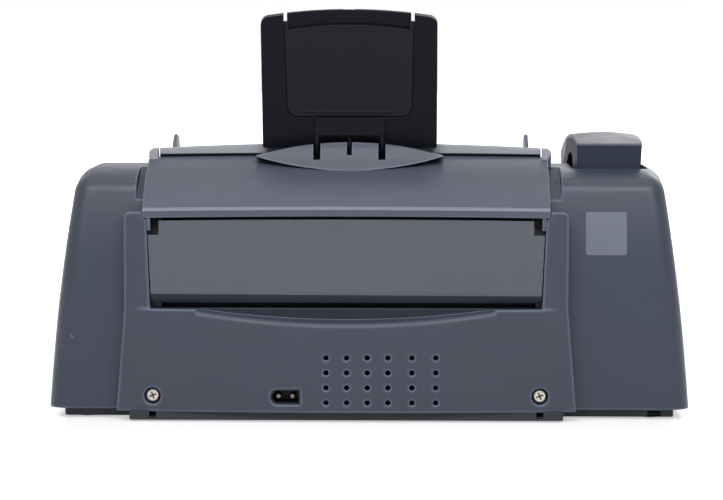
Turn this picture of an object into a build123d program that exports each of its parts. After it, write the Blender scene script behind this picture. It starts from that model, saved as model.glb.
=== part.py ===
"""Desktop inkjet fax machine with a handset, an upright document tray and a rear access door.

Frame of the written parts: millimetres, +Z up, origin on the table under the middle of the machine's box.
Heights in this file are drawn from a datum plane, datum_z above the table, and write() lifts every part by it.
The control panel faces -Y and the door with the power inlet faces +Y.
The paper path is not centred: it lies feeder_x towards +X, and the handset fills the wide shoulder at -X.
"""
from build123d import *
from math import atan2, cos, degrees, hypot, pi, radians, sin, sqrt, tan
import os

# ---------------------------------------------------------------- overall body
datum_z = 2.8           # height of the datum plane above the table
foot_height = 1.2
pan_low = foot_height - datum_z
pan_floor = pan_low + 2.0
base_z = 3.7            # lower edge of the casing, top of the base pan's rim
body_half = 200.1       # half width at base_z
pan_half = body_half - 9.6
waist_z = 67.0
waist_half = body_half - 5.9
deck_z = 152.0
shoulder_half = body_half - 17.4   # half width where the side wall would meet the deck
rear_y = 118.0          # casing's rear face at base_z
front_y = -102.5
crease_y = 104.0        # edge between rear face and deck
crease_z = 144.0
belly_z = 48.0          # the rear face is upright below this height
slope_top_y = 35.0      # the deck is flat behind this line and slopes down in front of it
slope_low_y = -80.0
slope_low_z = 127.3
wall = 2.5
rim_half = body_half - 16.1   # inner edge of the casing's foot rim
deck_round = 12.0
side_in = body_half - 50   # everything of the casing outside this half width is shoulder
line_socket_ys = (66.0, 82.0)
data_socket_y = 52.0
handset_socket_y = 20.0
feeder_x = 12.5
rear_x = feeder_x + 1.2   # middle of the rear cover, the door and the bezel
cover_half = 125.8      # half width of the rear cover, which sets the feeder, the door and the bezel
clear = 0.3             # gap between a moving piece and what it passes

# ---------------------------------------------------------------- rear bezel and door
bezel_rear_y = 134.0
bezel_side_y = 127.6
bezel_foot_half = cover_half + 16.5
bezel_waist_half = cover_half + 11.1
bezel_top_half = cover_half + 11.8
bezel_waist_z = 67.5
scoop_z = 61.0           # lowest point of the finger scoop at its rear wall
scoop_half = 92.0
scoop_y = 126.0          # rear wall of the scoop
scoop_fall = 18.0        # slope of the scoop's floor, in degrees
scoop_round = 4.0
arm_top_z = 127.0
arm_low_y = 128.4       # arm's rear face at bezel_waist_z
arm_top_y = 121.0
door_open_low_half = cover_half - 4.8
door_open_top_half = cover_half - 1.8
door_gap = 0.7
door_low_z = 71.0
door_top_z = 121.3
door_thick = 2.6
door_axis_y = 123.0
door_axis_z = 74.0
pin_r = 1.5
pin_fit = 0.08
vent_r = 1.65
vent_rows = 4
vent_row_pitch = 9.3
vent_low_z = 10.0
vent_columns = (25.8, 13.1, 0.4, -12.3, -27.1, -41.8)
screw_half = cover_half - 6.0
screw_z = 13.4
screw_r = 1.6
inlet_x = 51.0
inlet_z = 13.4
inlet_width = 18.2
inlet_height = 9.4
inlet_pin_reach = 24.0
supply_top = 38.0

# ---------------------------------------------------------------- cover, feeder, document tray
opening_half = cover_half - 8.8    # hole in the casing's top and front, about feeder_x
recess_half = cover_half + 6.7     # the deck slopes down to the rear arms inside this half width
cover_top_y = 72.5
cover_top_z = 158.0
cover_crown = 1.0       # rise in the middle over the height at the ends
lip_y = 122.8
lip_low_z = 123.4
lip_top_z = 129.0
strip_half = cover_half - 4.6
strip_rear_y = 70.0
strip_top_z = 163.6
strip_crown = 3.3
bump_half = 59.0
bump_top_z = 168.0
bump_low_z = 155.0
bump_tip_z = 159.5
rib_foot_out = -1.8     # foot of the tray's outer and middle ribs, along the tray
rib_foot_mid = 1.2
rib_depth = 3.0
ear_width = 5.6
tray_lean = 14.0
frame_back = 3.8        # tray's rear face, in front of its root
panel_back = 7.0
panel_front = 9.6
panel_low = 3.2
tray_root_y = 78.0
tray_root_z = 160.0
tray_half = 55.2
tray_top = 92.2
rib_half = 20.5
rib_thick = 2.0
flap_half = 40.4
flap_taper = 1.4         # the flap is narrower by this on each side at its free edge
flap_axis = 84.5
flap_arch = 38.0        # half width of the flap's arched upper edge
bed_angle = 25.0
bed_mid_y = 49.0
bed_mid_z = 152.5
guide_half = opening_half - 5.3
guide_travel = 34.0
gear_module = 1.0
pinion_teeth = 12
chute_z = 102.5
chute_front_y = -97.0
adf_y = 16.0
adf_z = 128.6
adf_r = 9.0
adf_shaft_r = 3.0
lid_axis_y = -17.5
lid_axis_z = 144.0
lid_pad_half = 14.0

# ---------------------------------------------------------------- handset
handset_x = -(body_half - 48.6)
handset_half = 20.6
handset_rear_y = 80.0
handset_front_y = -97.0
cradle_depth = 3.0

# ---------------------------------------------------------------- print mechanism
mech_half = opening_half - 4.0
plate = 2.0
rod_y = 8.0
rod_z = 82.0
rod_r = 4.0
belt_y = 24.0
belt_z = 92.0
pulley_r = 6.0
pulley_half = mech_half - 15.0
bay_side = 60.0         # the platen ends and the service bay begins here, towards +X of feeder_x
feed_y = 80.0
feed_z = 62.0
feed_r = 18.0
exit_y = -62.0
exit_z = 36.5
exit_r = 7.0
exit_shaft_r = 2.5
feed_shaft_r = 4.0
feed_teeth = 44
motor_teeth = 14
motor_shaft_r = 1.5
wheel_width = 4.5
wheel_in = mech_half + plate + 0.4      # belt wheels outside the -X side plate
gear_in = wheel_in + wheel_width + 0.7
gear_width = 4.5
motor_angle = 150.0
motor_pitch = (feed_teeth + motor_teeth) * gear_module / 2 + 0.1
motor_y = feed_y + motor_pitch * cos(radians(motor_angle))
motor_z = feed_z + motor_pitch * sin(radians(motor_angle))
tray_front_y = -134.0
tray_floor_z = base_z + 3.5
door_pin_y = -95.5
door_pin_z = 56.5


# ================================================================ helpers
def at_x(x):
    """Points (y, z) on the plane at x."""
    return lambda a, b: Vector(x, a, b)


def at_y(y):
    """Points (x, z) on the plane at y."""
    return lambda a, b: Vector(a, y, b)


def at_z(z):
    """Points (x, y) on the plane at z."""
    return lambda a, b: Vector(a, b, z)


def face_of(place, items):
    """Closed face. An item is a corner (a, b), or an arc (mid_a, mid_b, end_a, end_b) from the last point."""
    edges = []
    here = items[0]
    for item in list(items[1:]) + [items[0]]:
        end = item[-2:]
        if len(item) == 4:
            edges.append(Edge.make_three_point_arc(place(*here), place(*item[:2]), place(*end)))
        elif hypot(end[0] - here[0], end[1] - here[1]) > 1e-6:
            edges.append(Edge.make_line(place(*here), place(*end)))
        here = end
    return Face(Wire(edges))


def prism(face, direction):
    """Solid swept by a face along a vector."""
    return Solid.extrude(face, Vector(*direction))


def yz_prism(items, x0, x1):
    """Outline in (y, z), extruded from x0 to x1."""
    return prism(face_of(at_x(x0), items), (x1 - x0, 0, 0))


def xz_prism(items, y0, y1):
    """Outline in (x, z), extruded from y0 to y1."""
    return prism(face_of(at_y(y0), items), (0, y1 - y0, 0))


def xy_prism(items, z0, z1):
    """Outline in (x, y), extruded from z0 to z1."""
    return prism(face_of(at_z(z0), items), (0, 0, z1 - z0))


def block(x0, x1, y0, y1, z0, z1):
    """Box between two corners."""
    size = (abs(x1 - x0), abs(y1 - y0), abs(z1 - z0))
    return Solid.make_box(*size, Plane((min(x0, x1), min(y0, y1), min(z0, z1))))


def rod(start, end, radius):
    """Round bar between two points."""
    a, b = Vector(*start), Vector(*end)
    return Solid.make_cylinder(radius, (b - a).length, Plane(origin=a, z_dir=(b - a)))


def rod_along_x(x0, x1, y, z, radius):
    """Round bar along X."""
    return rod((x0, y, z), (x1, y, z), radius)


def tube_along_x(x0, x1, y, z, outer, inner):
    """Round sleeve along X."""
    return rod_along_x(x0, x1, y, z, outer) - rod_along_x(x0 - 1, x1 + 1, y, z, inner)


def both_sides(make):
    """Union of make(1) and make(-1), which give the +X and the -X copy."""
    return make(1) + make(-1)


def rounded(shape, radius, axis):
    """Shape with its edges parallel to axis rounded."""
    return fillet(shape.edges().filter_by(axis), radius)


def circle_through(p, q, r):
    """Centre and radius of the circle through three points."""
    ax, ay = q[0] - p[0], q[1] - p[1]
    bx, by = r[0] - p[0], r[1] - p[1]
    d = 2 * (ax * by - ay * bx)
    ux = (by * (ax * ax + ay * ay) - ay * (bx * bx + by * by)) / d
    uy = (ax * (bx * bx + by * by) - bx * (ax * ax + ay * ay)) / d
    return p[0] + ux, p[1] + uy, hypot(ux, uy)


def gear_points(teeth, module, shrink=0.0):
    """Corners of a flat-sided spur gear, tooth centred on angle 0; shrink thins each tooth."""
    pitch_r = teeth * module / 2
    root_r, tip_r = pitch_r - 1.25 * module, pitch_r + module
    half_pitch = pi / 2 / teeth
    slim = shrink / pitch_r
    points = []
    for n in range(teeth):
        middle = 2 * pi * n / teeth
        for radius, half in ((root_r, half_pitch * 1.5 - slim), (pitch_r, half_pitch - slim),
                             (tip_r, half_pitch * 0.48 - slim)):
            points.append((radius, middle - half))
        for radius, half in ((tip_r, half_pitch * 0.48 - slim), (pitch_r, half_pitch - slim),
                             (root_r, half_pitch * 1.5 - slim)):
            points.append((radius, middle + half))
    return [(r * cos(a), r * sin(a)) for r, a in points]


def gear_along_x(x0, x1, y, z, teeth, module, turn, shrink, bore):
    """Spur gear on an axis along X, with one tooth at angle turn (degrees from +Y towards +Z)."""
    c, s = cos(radians(turn)), sin(radians(turn))
    outline = [(y + a * c - b * s, z + a * s + b * c) for a, b in gear_points(teeth, module, shrink)]
    return yz_prism(outline, x0, x1) - rod_along_x(x0 - 1, x1 + 1, y, z, bore)


def write(name, *solids):
    """Writes one node; several solids stay separate in it."""
    shapes = [s for one in solids for s in one.solids()]
    shape = shapes[0] if len(shapes) == 1 else Compound(children=shapes)
    shape = shape.moved(Location((0, 0, datum_z)))
    export_step(shape, f"parts/{name}.step")


# ================================================================ body outlines
side_cx, side_cz, side_r = circle_through((body_half, base_z), (waist_half, waist_z), (shoulder_half, deck_z))
slope = (deck_z - slope_low_z) / (slope_top_y - slope_low_y)
slope_angle = degrees(atan2(deck_z - slope_low_z, slope_top_y - slope_low_y))


def side_half(z):
    """Half width of the body at height z."""
    return side_cx + sqrt(side_r ** 2 - (z - side_cz) ** 2)


def deck_height(y):
    """Height of the deck's sloping part at y."""
    return deck_z - slope * (slope_top_y - y)


def body_profile(offset, low_z):
    """Side outline (y, z) of the body, moved outwards by offset; it runs down to low_z."""
    knee = offset * tan(radians(slope_angle) / 2)
    up, out = offset * cos(radians(slope_angle)), offset * sin(radians(slope_angle))
    return [
        (rear_y + offset, low_z),
        (rear_y + offset, belly_z),
        (rear_y - 3.2 + offset, (belly_z + crease_z) / 2, crease_y + offset, crease_z + 0.3 * offset),
        (crease_y - 20 + 0.3 * offset, deck_z - 0.8 + offset, crease_y - 30, deck_z + offset),
        (slope_top_y - knee, deck_z + offset),
        (slope_low_y - out, slope_low_z + up),
        (front_y + 7 - 0.7 * offset, slope_low_z - 9.5 + 0.7 * offset, front_y - offset, slope_low_z - 26),
        (front_y + 2 - offset, low_z),
    ]


def body_solid(inset, low_z, corner, edge):
    """Filled body, inset from the outer skin, with rounded rear corners and a rounded deck edge."""
    half = body_half + 2
    top = deck_z + 12
    profile = yz_prism(body_profile(-inset, low_z), -half, half)
    widths = [side_half(z) - inset for z in (low_z, waist_z, top)]
    section = xz_prism([
        (-widths[0], low_z), (widths[0], low_z), (widths[1], waist_z, widths[2], top),
        (-widths[2], top), (-widths[1], waist_z, -widths[0], low_z),
    ], front_y - 40, rear_y + 40)
    solid = profile & section
    rear = [e for e in solid.edges() if e.center().Y > crease_y and abs(e.center().X) > side_in
            and abs(e.tangent_at(0.5).Z) > 0.9]
    solid = solid.fillet(corner, rear)
    deck = [e for e in solid.edges() if abs(e.center().X) > side_in and e.center().Z > low_z + 5
            and e.center().Y < crease_y - 2 and abs(e.tangent_at(0.5).X) < 0.5]
    return solid.fillet(edge, deck)


def ramp_cut(inset):
    """What the slope down to the rear arms takes off the deck around the feeder."""
    half = recess_half + inset
    return yz_prism([
        (crease_y - 30 - inset, deck_z - inset), (arm_top_y - 2.5 - inset, arm_top_z - inset),
        (arm_top_y + 20, arm_top_z - inset), (arm_top_y + 20, deck_z + 20), (crease_y - 30 - inset, deck_z + 20),
    ], feeder_x - half, feeder_x + half)


body_outer = body_solid(0, base_z, 12.0, deck_round)
casing_outer = body_outer - ramp_cut(0)
casing_inner = body_solid(wall, base_z - 5, 9.5, deck_round - wall) - ramp_cut(wall)


def under_deck(high, low, x0, x1, y0, y1):
    """Layer between two depths below the outer profile."""
    layer = yz_prism(body_profile(-high, base_z), x0, x1) - yz_prism(body_profile(-low, base_z - 1), x0, x1)
    return layer & block(x0, x1, y0, y1, base_z, deck_z + 20)


def main_casing():
    """One moulded skin: both shoulders, the rear wall behind the bezel and the cradle for the handset."""
    shell = casing_outer - casing_inner
    beyond = body_half + 12
    rim = casing_outer & block(-beyond, beyond, front_y - 18, rear_y + 12, base_z, base_z + 2)
    rim -= block(-rim_half, rim_half, front_y + 14, rear_y - 9, base_z - 1, base_z + 3)
    shell += rim
    left, right = handset_x - handset_half - 3, handset_x + handset_half + 3
    tub = under_deck(0, cradle_depth + wall, left - wall, right + wall, -86, handset_rear_y + 2.5 + wall)
    shell += tub & body_outer
    shell -= under_deck(-1, cradle_depth, left, right, -83.5, handset_rear_y + 2.5)
    shell -= block(handset_x - 3.2, handset_x + 3.2, 46, 58, deck_z - 10, deck_z)
    x0, x1 = feeder_x - opening_half, feeder_x + opening_half
    shell -= block(x0, x1, front_y - 10, 110, deck_z - 30, deck_z + 10)
    shell -= block(x0, x1, front_y - 10, front_y + 30, base_z - 1, deck_z)
    shell -= block(x0 + 3, x1 - 3, 95, rear_y + 10, base_z + 3, 55)
    shell -= block(x0 + 1, x1 - 1, 95, rear_y + 10, 62, arm_top_z + 20)

    def front_boss(side):
        boss = block(feeder_x + side * opening_half, feeder_x + side * (opening_half + 7), -101, -89, 50, 62)
        boss += block(feeder_x + side * (opening_half + 4), feeder_x + side * (opening_half + 7), -101, -89, 12, 62)
        return boss
    shell += both_sides(front_boss)
    shell -= rod_along_x(feeder_x - opening_half - 6, feeder_x + opening_half + 6, door_pin_y, door_pin_z,
                         pin_r + pin_fit)
    for y in line_socket_ys:
        shell -= block(body_half - 9, beyond, y - 5.9, y + 5.9, 13.9, 25.1)
    y = data_socket_y
    shell -= block(body_half - 9, beyond, y - 6.1, y + 6.1, 13.9, 25.1)
    y = handset_socket_y
    shell -= block(-beyond, 9 - body_half, y - 5.9, y + 5.9, 17.9, 29.1)
    for side in (-1, 1):
        x = rear_x + side * screw_half
        shell -= rod((x, rear_y - 20, screw_z), (x, bezel_side_y, screw_z), screw_r + 0.02)
    return shell


def base_pan():
    """Shallow floor pan with a rim that carries the casing."""
    half, depth_front, depth_rear = pan_half, front_y + 7, rear_y - 6
    rear_half, rear_step = cover_half + 8.7, rear_y + 11.5
    pan = block(-half, half, depth_front, depth_rear, pan_low, base_z)
    pan += block(rear_x - rear_half, rear_x + rear_half, depth_rear - 1, rear_step, pan_low, base_z)
    pan = rounded(pan, 3.0, Axis.Z)
    pan -= block(-half + wall, half - wall, depth_front + wall, depth_rear - wall, pan_floor, base_z + 1)
    pan -= block(rear_x - rear_half + wall, rear_x + rear_half - wall, depth_rear - 5, rear_step - wall,
                 pan_floor, base_z + 1)
    for x in (rear_x - screw_half, rear_x + screw_half):
        pan -= block(x - 2.2, x + 2.2, rear_step - wall - 1, rear_step + 1, pan_low + 1, base_z + 1)
    pan -= block(8.2 - half, 16.5 - half, depth_rear - wall - 1, depth_rear + 1, pan_low + 0.4, base_z - 1.7)
    for x in (-60, 0, 60):
        pan += block(x - 0.8, x + 0.8, depth_front + 1, 60, pan_low + 1.5, pan_floor + 2)
    return pan


def rubber_feet():
    """Four pads under the base pan."""
    x = pan_half - 14
    spots = [(-x, -84), (-x, 98), (x, -84), (x, 98)]
    return Compound(children=[Solid.make_cylinder(8, foot_height, Plane((*spot, -datum_z))) for spot in spots])


# ================================================================ rear bezel, door, cover
def arm_face_y(z):
    """Rear face of the bezel's arms at height z."""
    return arm_low_y - (arm_low_y - arm_top_y) * (z - bezel_waist_z) / (arm_top_z - bezel_waist_z)


def bezel_block(inset):
    """Filled bezel, inset from its outer skin."""
    fh, wh, th = (v - inset for v in (bezel_foot_half, bezel_waist_half, bezel_top_half))
    low = base_z - (1 if inset else 0)
    top = arm_top_z - inset
    front = crease_y - 6
    wide = bezel_foot_half + 10
    outline = face_of(at_y(front), [
        (rear_x - fh, low), (rear_x + fh, low), (rear_x + wh, bezel_waist_z),
        (rear_x + th, top), (rear_x - th, top), (rear_x - wh, bezel_waist_z),
    ])
    corners = [v for v in outline.vertices() if v.Z > arm_top_z - inset - 1]
    outline = outline.fillet_2d(3.5 - inset if inset < 3 else 0.5, corners)
    silhouette = prism(outline, (0, 60, 0))
    lower = xy_prism([
        (rear_x - wide, front), (rear_x + wide, front), (rear_x + wide, bezel_side_y - 1.2 - inset),
        (rear_x, bezel_rear_y - inset, rear_x - wide, bezel_side_y - 1.2 - inset),
    ], low, bezel_waist_z - inset)
    arms = yz_prism([
        (front, low), (bezel_side_y - inset, low), (bezel_side_y - inset, bezel_waist_z - 14),
        (arm_face_y(bezel_waist_z) - inset, bezel_waist_z), (arm_face_y(top) - inset, top), (front, top),
    ], rear_x - wide, rear_x + wide)
    return (lower + arms) & silhouette


def door_hole(extra):
    """The door's opening in the bezel, or the door's outline when extra is negative."""
    low, top = door_open_low_half + extra, door_open_top_half + extra
    return [(rear_x - low, bezel_waist_z), (rear_x + low, bezel_waist_z),
            (rear_x + top, arm_top_z + 1), (rear_x - top, arm_top_z + 1)]


def scoop_solid(extra, y0):
    """The finger scoop's hollow from y0 rearwards, larger by extra; its floor falls towards the rear."""
    low, high, wide = scoop_z - extra, bezel_waist_z + 12, scoop_half + 2 * extra
    reach = bezel_rear_y + 10 - y0
    face = face_of(at_y(y0), [(rear_x - wide, high), (rear_x + wide, high), (rear_x + wide, bezel_waist_z),
                              (rear_x, low, rear_x - wide, bezel_waist_z)])
    return prism(face, (0, reach, -reach * tan(radians(scoop_fall))))


def rear_bezel():
    """Rear moulding: two arms beside the door, finger scoop, vents, inlet and screw wells."""
    bezel = bezel_block(0) - bezel_block(wall)
    bezel -= xz_prism(door_hole(0), 90, 150)
    def cheek(side):
        return xz_prism([
            (rear_x + side * door_open_low_half, bezel_waist_z),
            (rear_x + side * (door_open_low_half + 2), bezel_waist_z),
            (rear_x + side * (door_open_top_half + 2), arm_top_z),
            (rear_x + side * door_open_top_half, arm_top_z)], crease_y, 125) & bezel_block(0.6)
    bezel += both_sides(cheek)
    sill = door_open_low_half + 1.2
    bezel += block(rear_x - sill, rear_x + sill, 112, arm_low_y - 2, bezel_waist_z - 3, bezel_waist_z)
    backing = (scoop_solid(wall, scoop_y - wall) & bezel_block(0.2)) - xz_prism(door_hole(0), 90, 150)
    bezel = bezel + backing - scoop_solid(0, scoop_y)
    rim = [e for e in bezel.edges() if e.geom_type != GeomType.LINE and e.length > scoop_half
           and e.bounding_box().min.Y > scoop_y + 1 and abs(e.center().Z - scoop_z) < 6]
    bezel = bezel.fillet(scoop_round, rim)
    def hinge_boss(side):
        return block(rear_x + side * (door_open_low_half + 0.4), rear_x + side * (door_open_low_half + 5),
                     door_axis_y - 4, door_axis_y + 2.5, door_axis_z - 4, door_axis_z + 4)
    bezel += both_sides(hinge_boss)
    bezel -= rod_along_x(rear_x - cover_half, rear_x + cover_half, door_axis_y, door_axis_z, pin_r + pin_fit)
    for x in vent_columns:
        for row in range(vent_rows):
            z = vent_low_z + row * vent_row_pitch
            bezel -= rod((x, bezel_rear_y - 12, z), (x, bezel_rear_y + 2, z), vent_r)
    for side in (-1, 1):
        x = rear_x + side * screw_half
        bezel += rod((x, bezel_side_y - 10, screw_z), (x, bezel_side_y + 0.4, screw_z), 7.2)
        bezel -= rod((x, bezel_side_y - 3.4, screw_z), (x, bezel_side_y + 9, screw_z), 5.2)
        bezel -= rod((x, bezel_side_y - 20, screw_z), (x, bezel_side_y + 9, screw_z), 2.0)
    bezel -= inlet_outline(0.05, bezel_rear_y - 12, bezel_rear_y + 3)
    bezel -= block(rear_x - cover_half - clear, rear_x + cover_half + clear, 90, 150, lip_low_z - clear, 150)
    return bezel - casing_outer


def inlet_outline(extra, y0, y1):
    """Figure-eight inlet shape with one square end, extruded along Y."""
    w, h = inlet_width / 2 + extra, inlet_height / 2 + extra
    return xz_prism([
        (inlet_x - w, inlet_z - h), (inlet_x + w - h, inlet_z - h), (inlet_x + w, inlet_z, inlet_x + w - h, inlet_z + h),
        (inlet_x - w, inlet_z + h)], y0, y1)


def power_inlet():
    """Inlet housing with its recess and two round pins as separate solids."""
    face_y = bezel_rear_y - 1.4
    body = inlet_outline(0, face_y - 22, face_y)
    body += block(inlet_x - 14, inlet_x + 14, face_y - 22, face_y - 2.6, inlet_z - 5.4, inlet_z + 7.5)
    body -= inlet_outline(-0.9, face_y - 17, face_y + 1)
    pins = []
    for x in (inlet_x - 4.3, inlet_x + 4.3):
        body -= rod((x, face_y - 23, inlet_z), (x, face_y - 16, inlet_z), 1.2)
        pins.append(rod((x, face_y - inlet_pin_reach, inlet_z), (x, face_y - 3.5, inlet_z), 1.2))
    return [body] + pins


def casing_screws():
    """Two pan-head screws in the bezel's wells."""
    screws = []
    for side in (-1, 1):
        x = rear_x + side * screw_half
        seat = bezel_side_y - 3.4
        head = rod((x, seat, screw_z), (x, seat + 2.6, screw_z), 4.4)
        head = head.fillet(1.4, [head.edges().sort_by(Axis.Y)[-1]])
        head += rod((x, seat - 12, screw_z), (x, seat, screw_z), screw_r)
        for turn in (0, 90):
            slot = Solid.make_box(4.6, 1.6, 0.9, Plane((x - 2.3, seat + 1.4, screw_z - 0.45)))
            head -= slot.rotate(Axis((x, 0, screw_z), (0, 1, 0)), turn + 20)
        screws.append(head)
    return screws


def door_plane(inset):
    """Rear face (y, z) of the door, set in from the arms' face."""
    return [(arm_face_y(z) - inset, z) for z in (door_low_z, door_top_z + cover_crown)]


def rear_door():
    """Access door with corner notches, stiffening ribs, a latch bar and hinge pins at its lower corners."""
    (y0, z0), (y1, z1) = door_plane(1.0)
    beyond = cover_half + 5
    low_half, top_half = door_open_low_half - door_gap, door_open_top_half - door_gap - 0.1
    slab = yz_prism([(y0 - door_thick - 0.6, z0), (y0 - 2.2, z0), (y0 - 0.55, z0 + 4.5, y0 - 0.8, z0 + 9), (y1, z1),
                     (y1 - door_thick, z1), (y0 - door_thick - 0.8, z0 + 9)],
                    rear_x - beyond, rear_x + beyond)
    outline = [(rear_x - low_half, door_low_z - 1), (rear_x + low_half, door_low_z - 1),
               (rear_x + top_half, door_top_z),
               (rear_x, door_top_z + cover_crown, rear_x - top_half, door_top_z)]
    door = slab & xz_prism(outline, 100, 140)
    for side in (-1, 1):
        door -= block(rear_x + side * (door_open_top_half - 8), rear_x + side * beyond, 100, 140,
                      door_top_z - 8.8, door_top_z + 5)
    for x in range(-100, 101, 25):
        door += yz_prism([(y0 - door_thick - 5.5, z0 + 6), (y0 - door_thick + 0.1, z0 + 3),
                          (y1 - door_thick + 0.1, z1 - 6), (y1 - door_thick - 2.5, z1 - 8),
                          (y0 - door_thick - 7.5, z0 + 24)], rear_x + x - 0.9, rear_x + x + 0.9)
    def knuckle(side):
        a, b = rear_x + side * (door_open_low_half - 3.5), rear_x + side * (door_open_low_half - 0.4)
        end = rear_x + side * (door_open_low_half + 3.6)
        arm = rod_along_x(min(a, b), max(a, b), door_axis_y, door_axis_z, 3.0)
        return arm + rod_along_x(min(a, end), max(a, end), door_axis_y, door_axis_z, pin_r)
    return door + both_sides(knuckle)


def crowned(profile, mid_x, half, sag):
    """Outline (y, z) turned about an axis along Y far below, so its top is crowned by sag over half."""
    radius = (half * half + sag * sag) / (2 * sag)
    angle = degrees(atan2(half, radius - sag))
    face = face_of(at_x(mid_x), profile)
    axis = Axis((mid_x, 0, lip_top_z + sag - radius), (0, 1, 0))
    return Solid.revolve(face, 2 * angle, axis).rotate(axis, -angle).translate((0, 0, sag))


def cover_profile(inset, low):
    """Side outline of the rear cover, standing on low below the ramp."""
    top_y, top_z = cover_top_y, cover_top_z - inset
    return [
        (lip_y - inset, low), (lip_y - inset, lip_top_z - 1.2 - 0.6 * inset),
        (lip_y - 1.6 - inset, lip_top_z + 0.4 - 0.6 * inset),
        (100 - 0.6 * inset, 147.0 - 0.8 * inset, top_y, top_z), (top_y, low),
    ]


def top_cover():
    """Curved rear cover with its lip, two door hooks, the tray's socket and two end ears."""
    hood = crowned(cover_profile(0, lip_low_z), rear_x, cover_half, cover_crown)
    hollow = crowned(cover_profile(wall, lip_low_z - 5), rear_x, cover_half - wall, cover_crown)
    cover = hood - hollow - casing_outer
    cover -= block(feeder_x - opening_half, feeder_x + opening_half, 60, 118, 110, 140) & hollow
    def hook(side):
        a, b = rear_x + side * (door_open_top_half - 2.8), rear_x + side * (door_open_top_half - 0.7)
        return yz_prism([(lip_y - 3.6, lip_low_z - 8), (lip_y - 1.4, lip_low_z - 8), (lip_y - 0.4, lip_low_z + 3),
                         (lip_y - 3.6, lip_low_z + 3)], min(a, b), max(a, b))
    cover += both_sides(hook)
    cover += tray_socket()
    def ear(side):
        a, b = feeder_x + side * (strip_half + 0.7), feeder_x + side * (strip_half + 0.7 + ear_width)
        tab = block(a, b, 66, 76.5, deck_z, strip_top_z)
        outer_top = [e for e in tab.edges().filter_by(Axis.Y) if e.center().Z > 160
                     and side * (e.center().X - feeder_x) > strip_half + 4]
        return tab.fillet(3.0, outer_top)
    cover += both_sides(ear)
    for x, half, low in tray_slots():
        cover -= block(x - half, x + half, tray_root_y - 9, tray_root_y + 16, low, bump_top_z + 5)
    return cover - casing_outer


def tray_point(along, out):
    """World (y, z) of a point in the tray's own plane."""
    lean_sin, lean_cos = sin(radians(tray_lean)), cos(radians(tray_lean))
    return (tray_root_y + along * lean_sin - out * lean_cos, tray_root_z + along * lean_cos + out * lean_sin)


def tray_slots():
    """Middle, half width and floor of the three sockets for the tray's ribs."""
    low = tray_point(rib_foot_out, -rib_depth)[1] - clear
    high = tray_point(rib_foot_mid, -rib_depth)[1] - clear
    return [(feeder_x - rib_half, 2.3, low), (feeder_x, 1.6, high), (feeder_x + rib_half, 2.3, low)]


def tray_socket():
    """Lens-shaped rise on the cover that takes the tray's ribs."""
    lens = xz_prism([
        (feeder_x - bump_half, bump_tip_z), (feeder_x, bump_low_z - 4, feeder_x + bump_half, bump_tip_z),
        (feeder_x, bump_top_z, feeder_x - bump_half, bump_tip_z)], 60, 110)
    front_low, front_high = tray_point(-5.5, frame_back - clear), tray_point(9.5, frame_back - clear)
    y, z = tray_root_y, tray_root_z
    rake = yz_prism([front_low, (y + 20, z - 14), (y + 12.5, z - 2), (y + 8.5, z + 5), (y + 5.5, bump_top_z + 1),
                     front_high], feeder_x - bump_half - 11, feeder_x + bump_half + 11)
    skin = crowned(cover_profile(wall + 1, lip_low_z - 5), rear_x, cover_half, cover_crown)
    return (lens & rake) - skin


# ================================================================ document feeder
bed = Plane(origin=(feeder_x, bed_mid_y, bed_mid_z), x_dir=(1, 0, 0),
            z_dir=(0, -sin(radians(bed_angle)), cos(radians(bed_angle))))
rack_low, rack_high = -6.2, -3.0
pitch_r = pinion_teeth * gear_module / 2


def in_plane(plane, x0, x1, y0, y1, z0, z1):
    """Box in a plane's own axes."""
    return Location(plane) * block(x0, x1, y0, y1, z0, z1)


def feeder_bed():
    """Inclined document bed with its raised rear edge, guide slots, cheeks and chute."""
    slab = in_plane(bed, -opening_half + 0.5, opening_half - 0.5, -23, 21.5, -wall, 0)
    for side in (-1, 1):
        a, b = side * (guide_half - guide_travel - 6), side * (guide_half + 2)
        slab -= in_plane(bed, min(a, b), max(a, b), -2.0, 2.0, -wall - 1, 1)
    slab += Location(bed) * (Solid.make_cylinder(4, 1.0, Plane((0, 0, -wall - 0.4)))
                             + Solid.make_cylinder(2.0, 7.0, Plane((0, 0, -wall - 6.4))))
    edge_profile = [(strip_rear_y - 4.5, deck_z), (strip_rear_y, deck_z), (strip_rear_y, strip_top_z - 5.5),
                    (strip_rear_y - 1.2, strip_top_z - 0.8), (strip_rear_y - 2.4, strip_top_z),
                    (strip_rear_y - 4.5, strip_top_z - 1.0)]
    slab += crowned(edge_profile, feeder_x, strip_half, strip_crown) & block(
        feeder_x - strip_half, feeder_x + strip_half, 50, 80, deck_z, strip_top_z + 10)
    def cheek(side):
        a, b = feeder_x + side * (opening_half - 0.5), feeder_x + side * (opening_half - 3)
        sheet = yz_prism([(-16, chute_z - wall), (60, chute_z - wall), (66, deck_z + 3), (50, deck_z - 1.6), (30, 143),
                          (-12, 142), (lid_axis_y, lid_axis_z + 2.7), (lid_axis_y - 2.7, lid_axis_z),
                          (lid_axis_y - 2.7, lid_axis_z - 6)], min(a, b), max(a, b))
        return sheet
    slab += both_sides(cheek)
    slab += yz_prism([(66, 156.5), (68.5, 156.5), (68.5, deck_z), (60, chute_z - 1), (57.5, chute_z - 1)],
                     feeder_x - opening_half + 1, feeder_x + opening_half - 1)
    slab += yz_prism([(60, chute_z - wall), (60, chute_z), (-16, chute_z), (chute_front_y, chute_z - 1.9),
                      (chute_front_y, chute_z - 1.9 - wall), (-16, chute_z - wall)],
                     feeder_x - opening_half + 1, feeder_x + opening_half - 1)
    slab -= rod_along_x(feeder_x - 130, feeder_x + 130, adf_y, adf_z, adf_shaft_r + pin_fit)
    slab -= rod_along_x(feeder_x - 130, feeder_x + 130, lid_axis_y, lid_axis_z, pin_r + pin_fit)
    return slab


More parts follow.
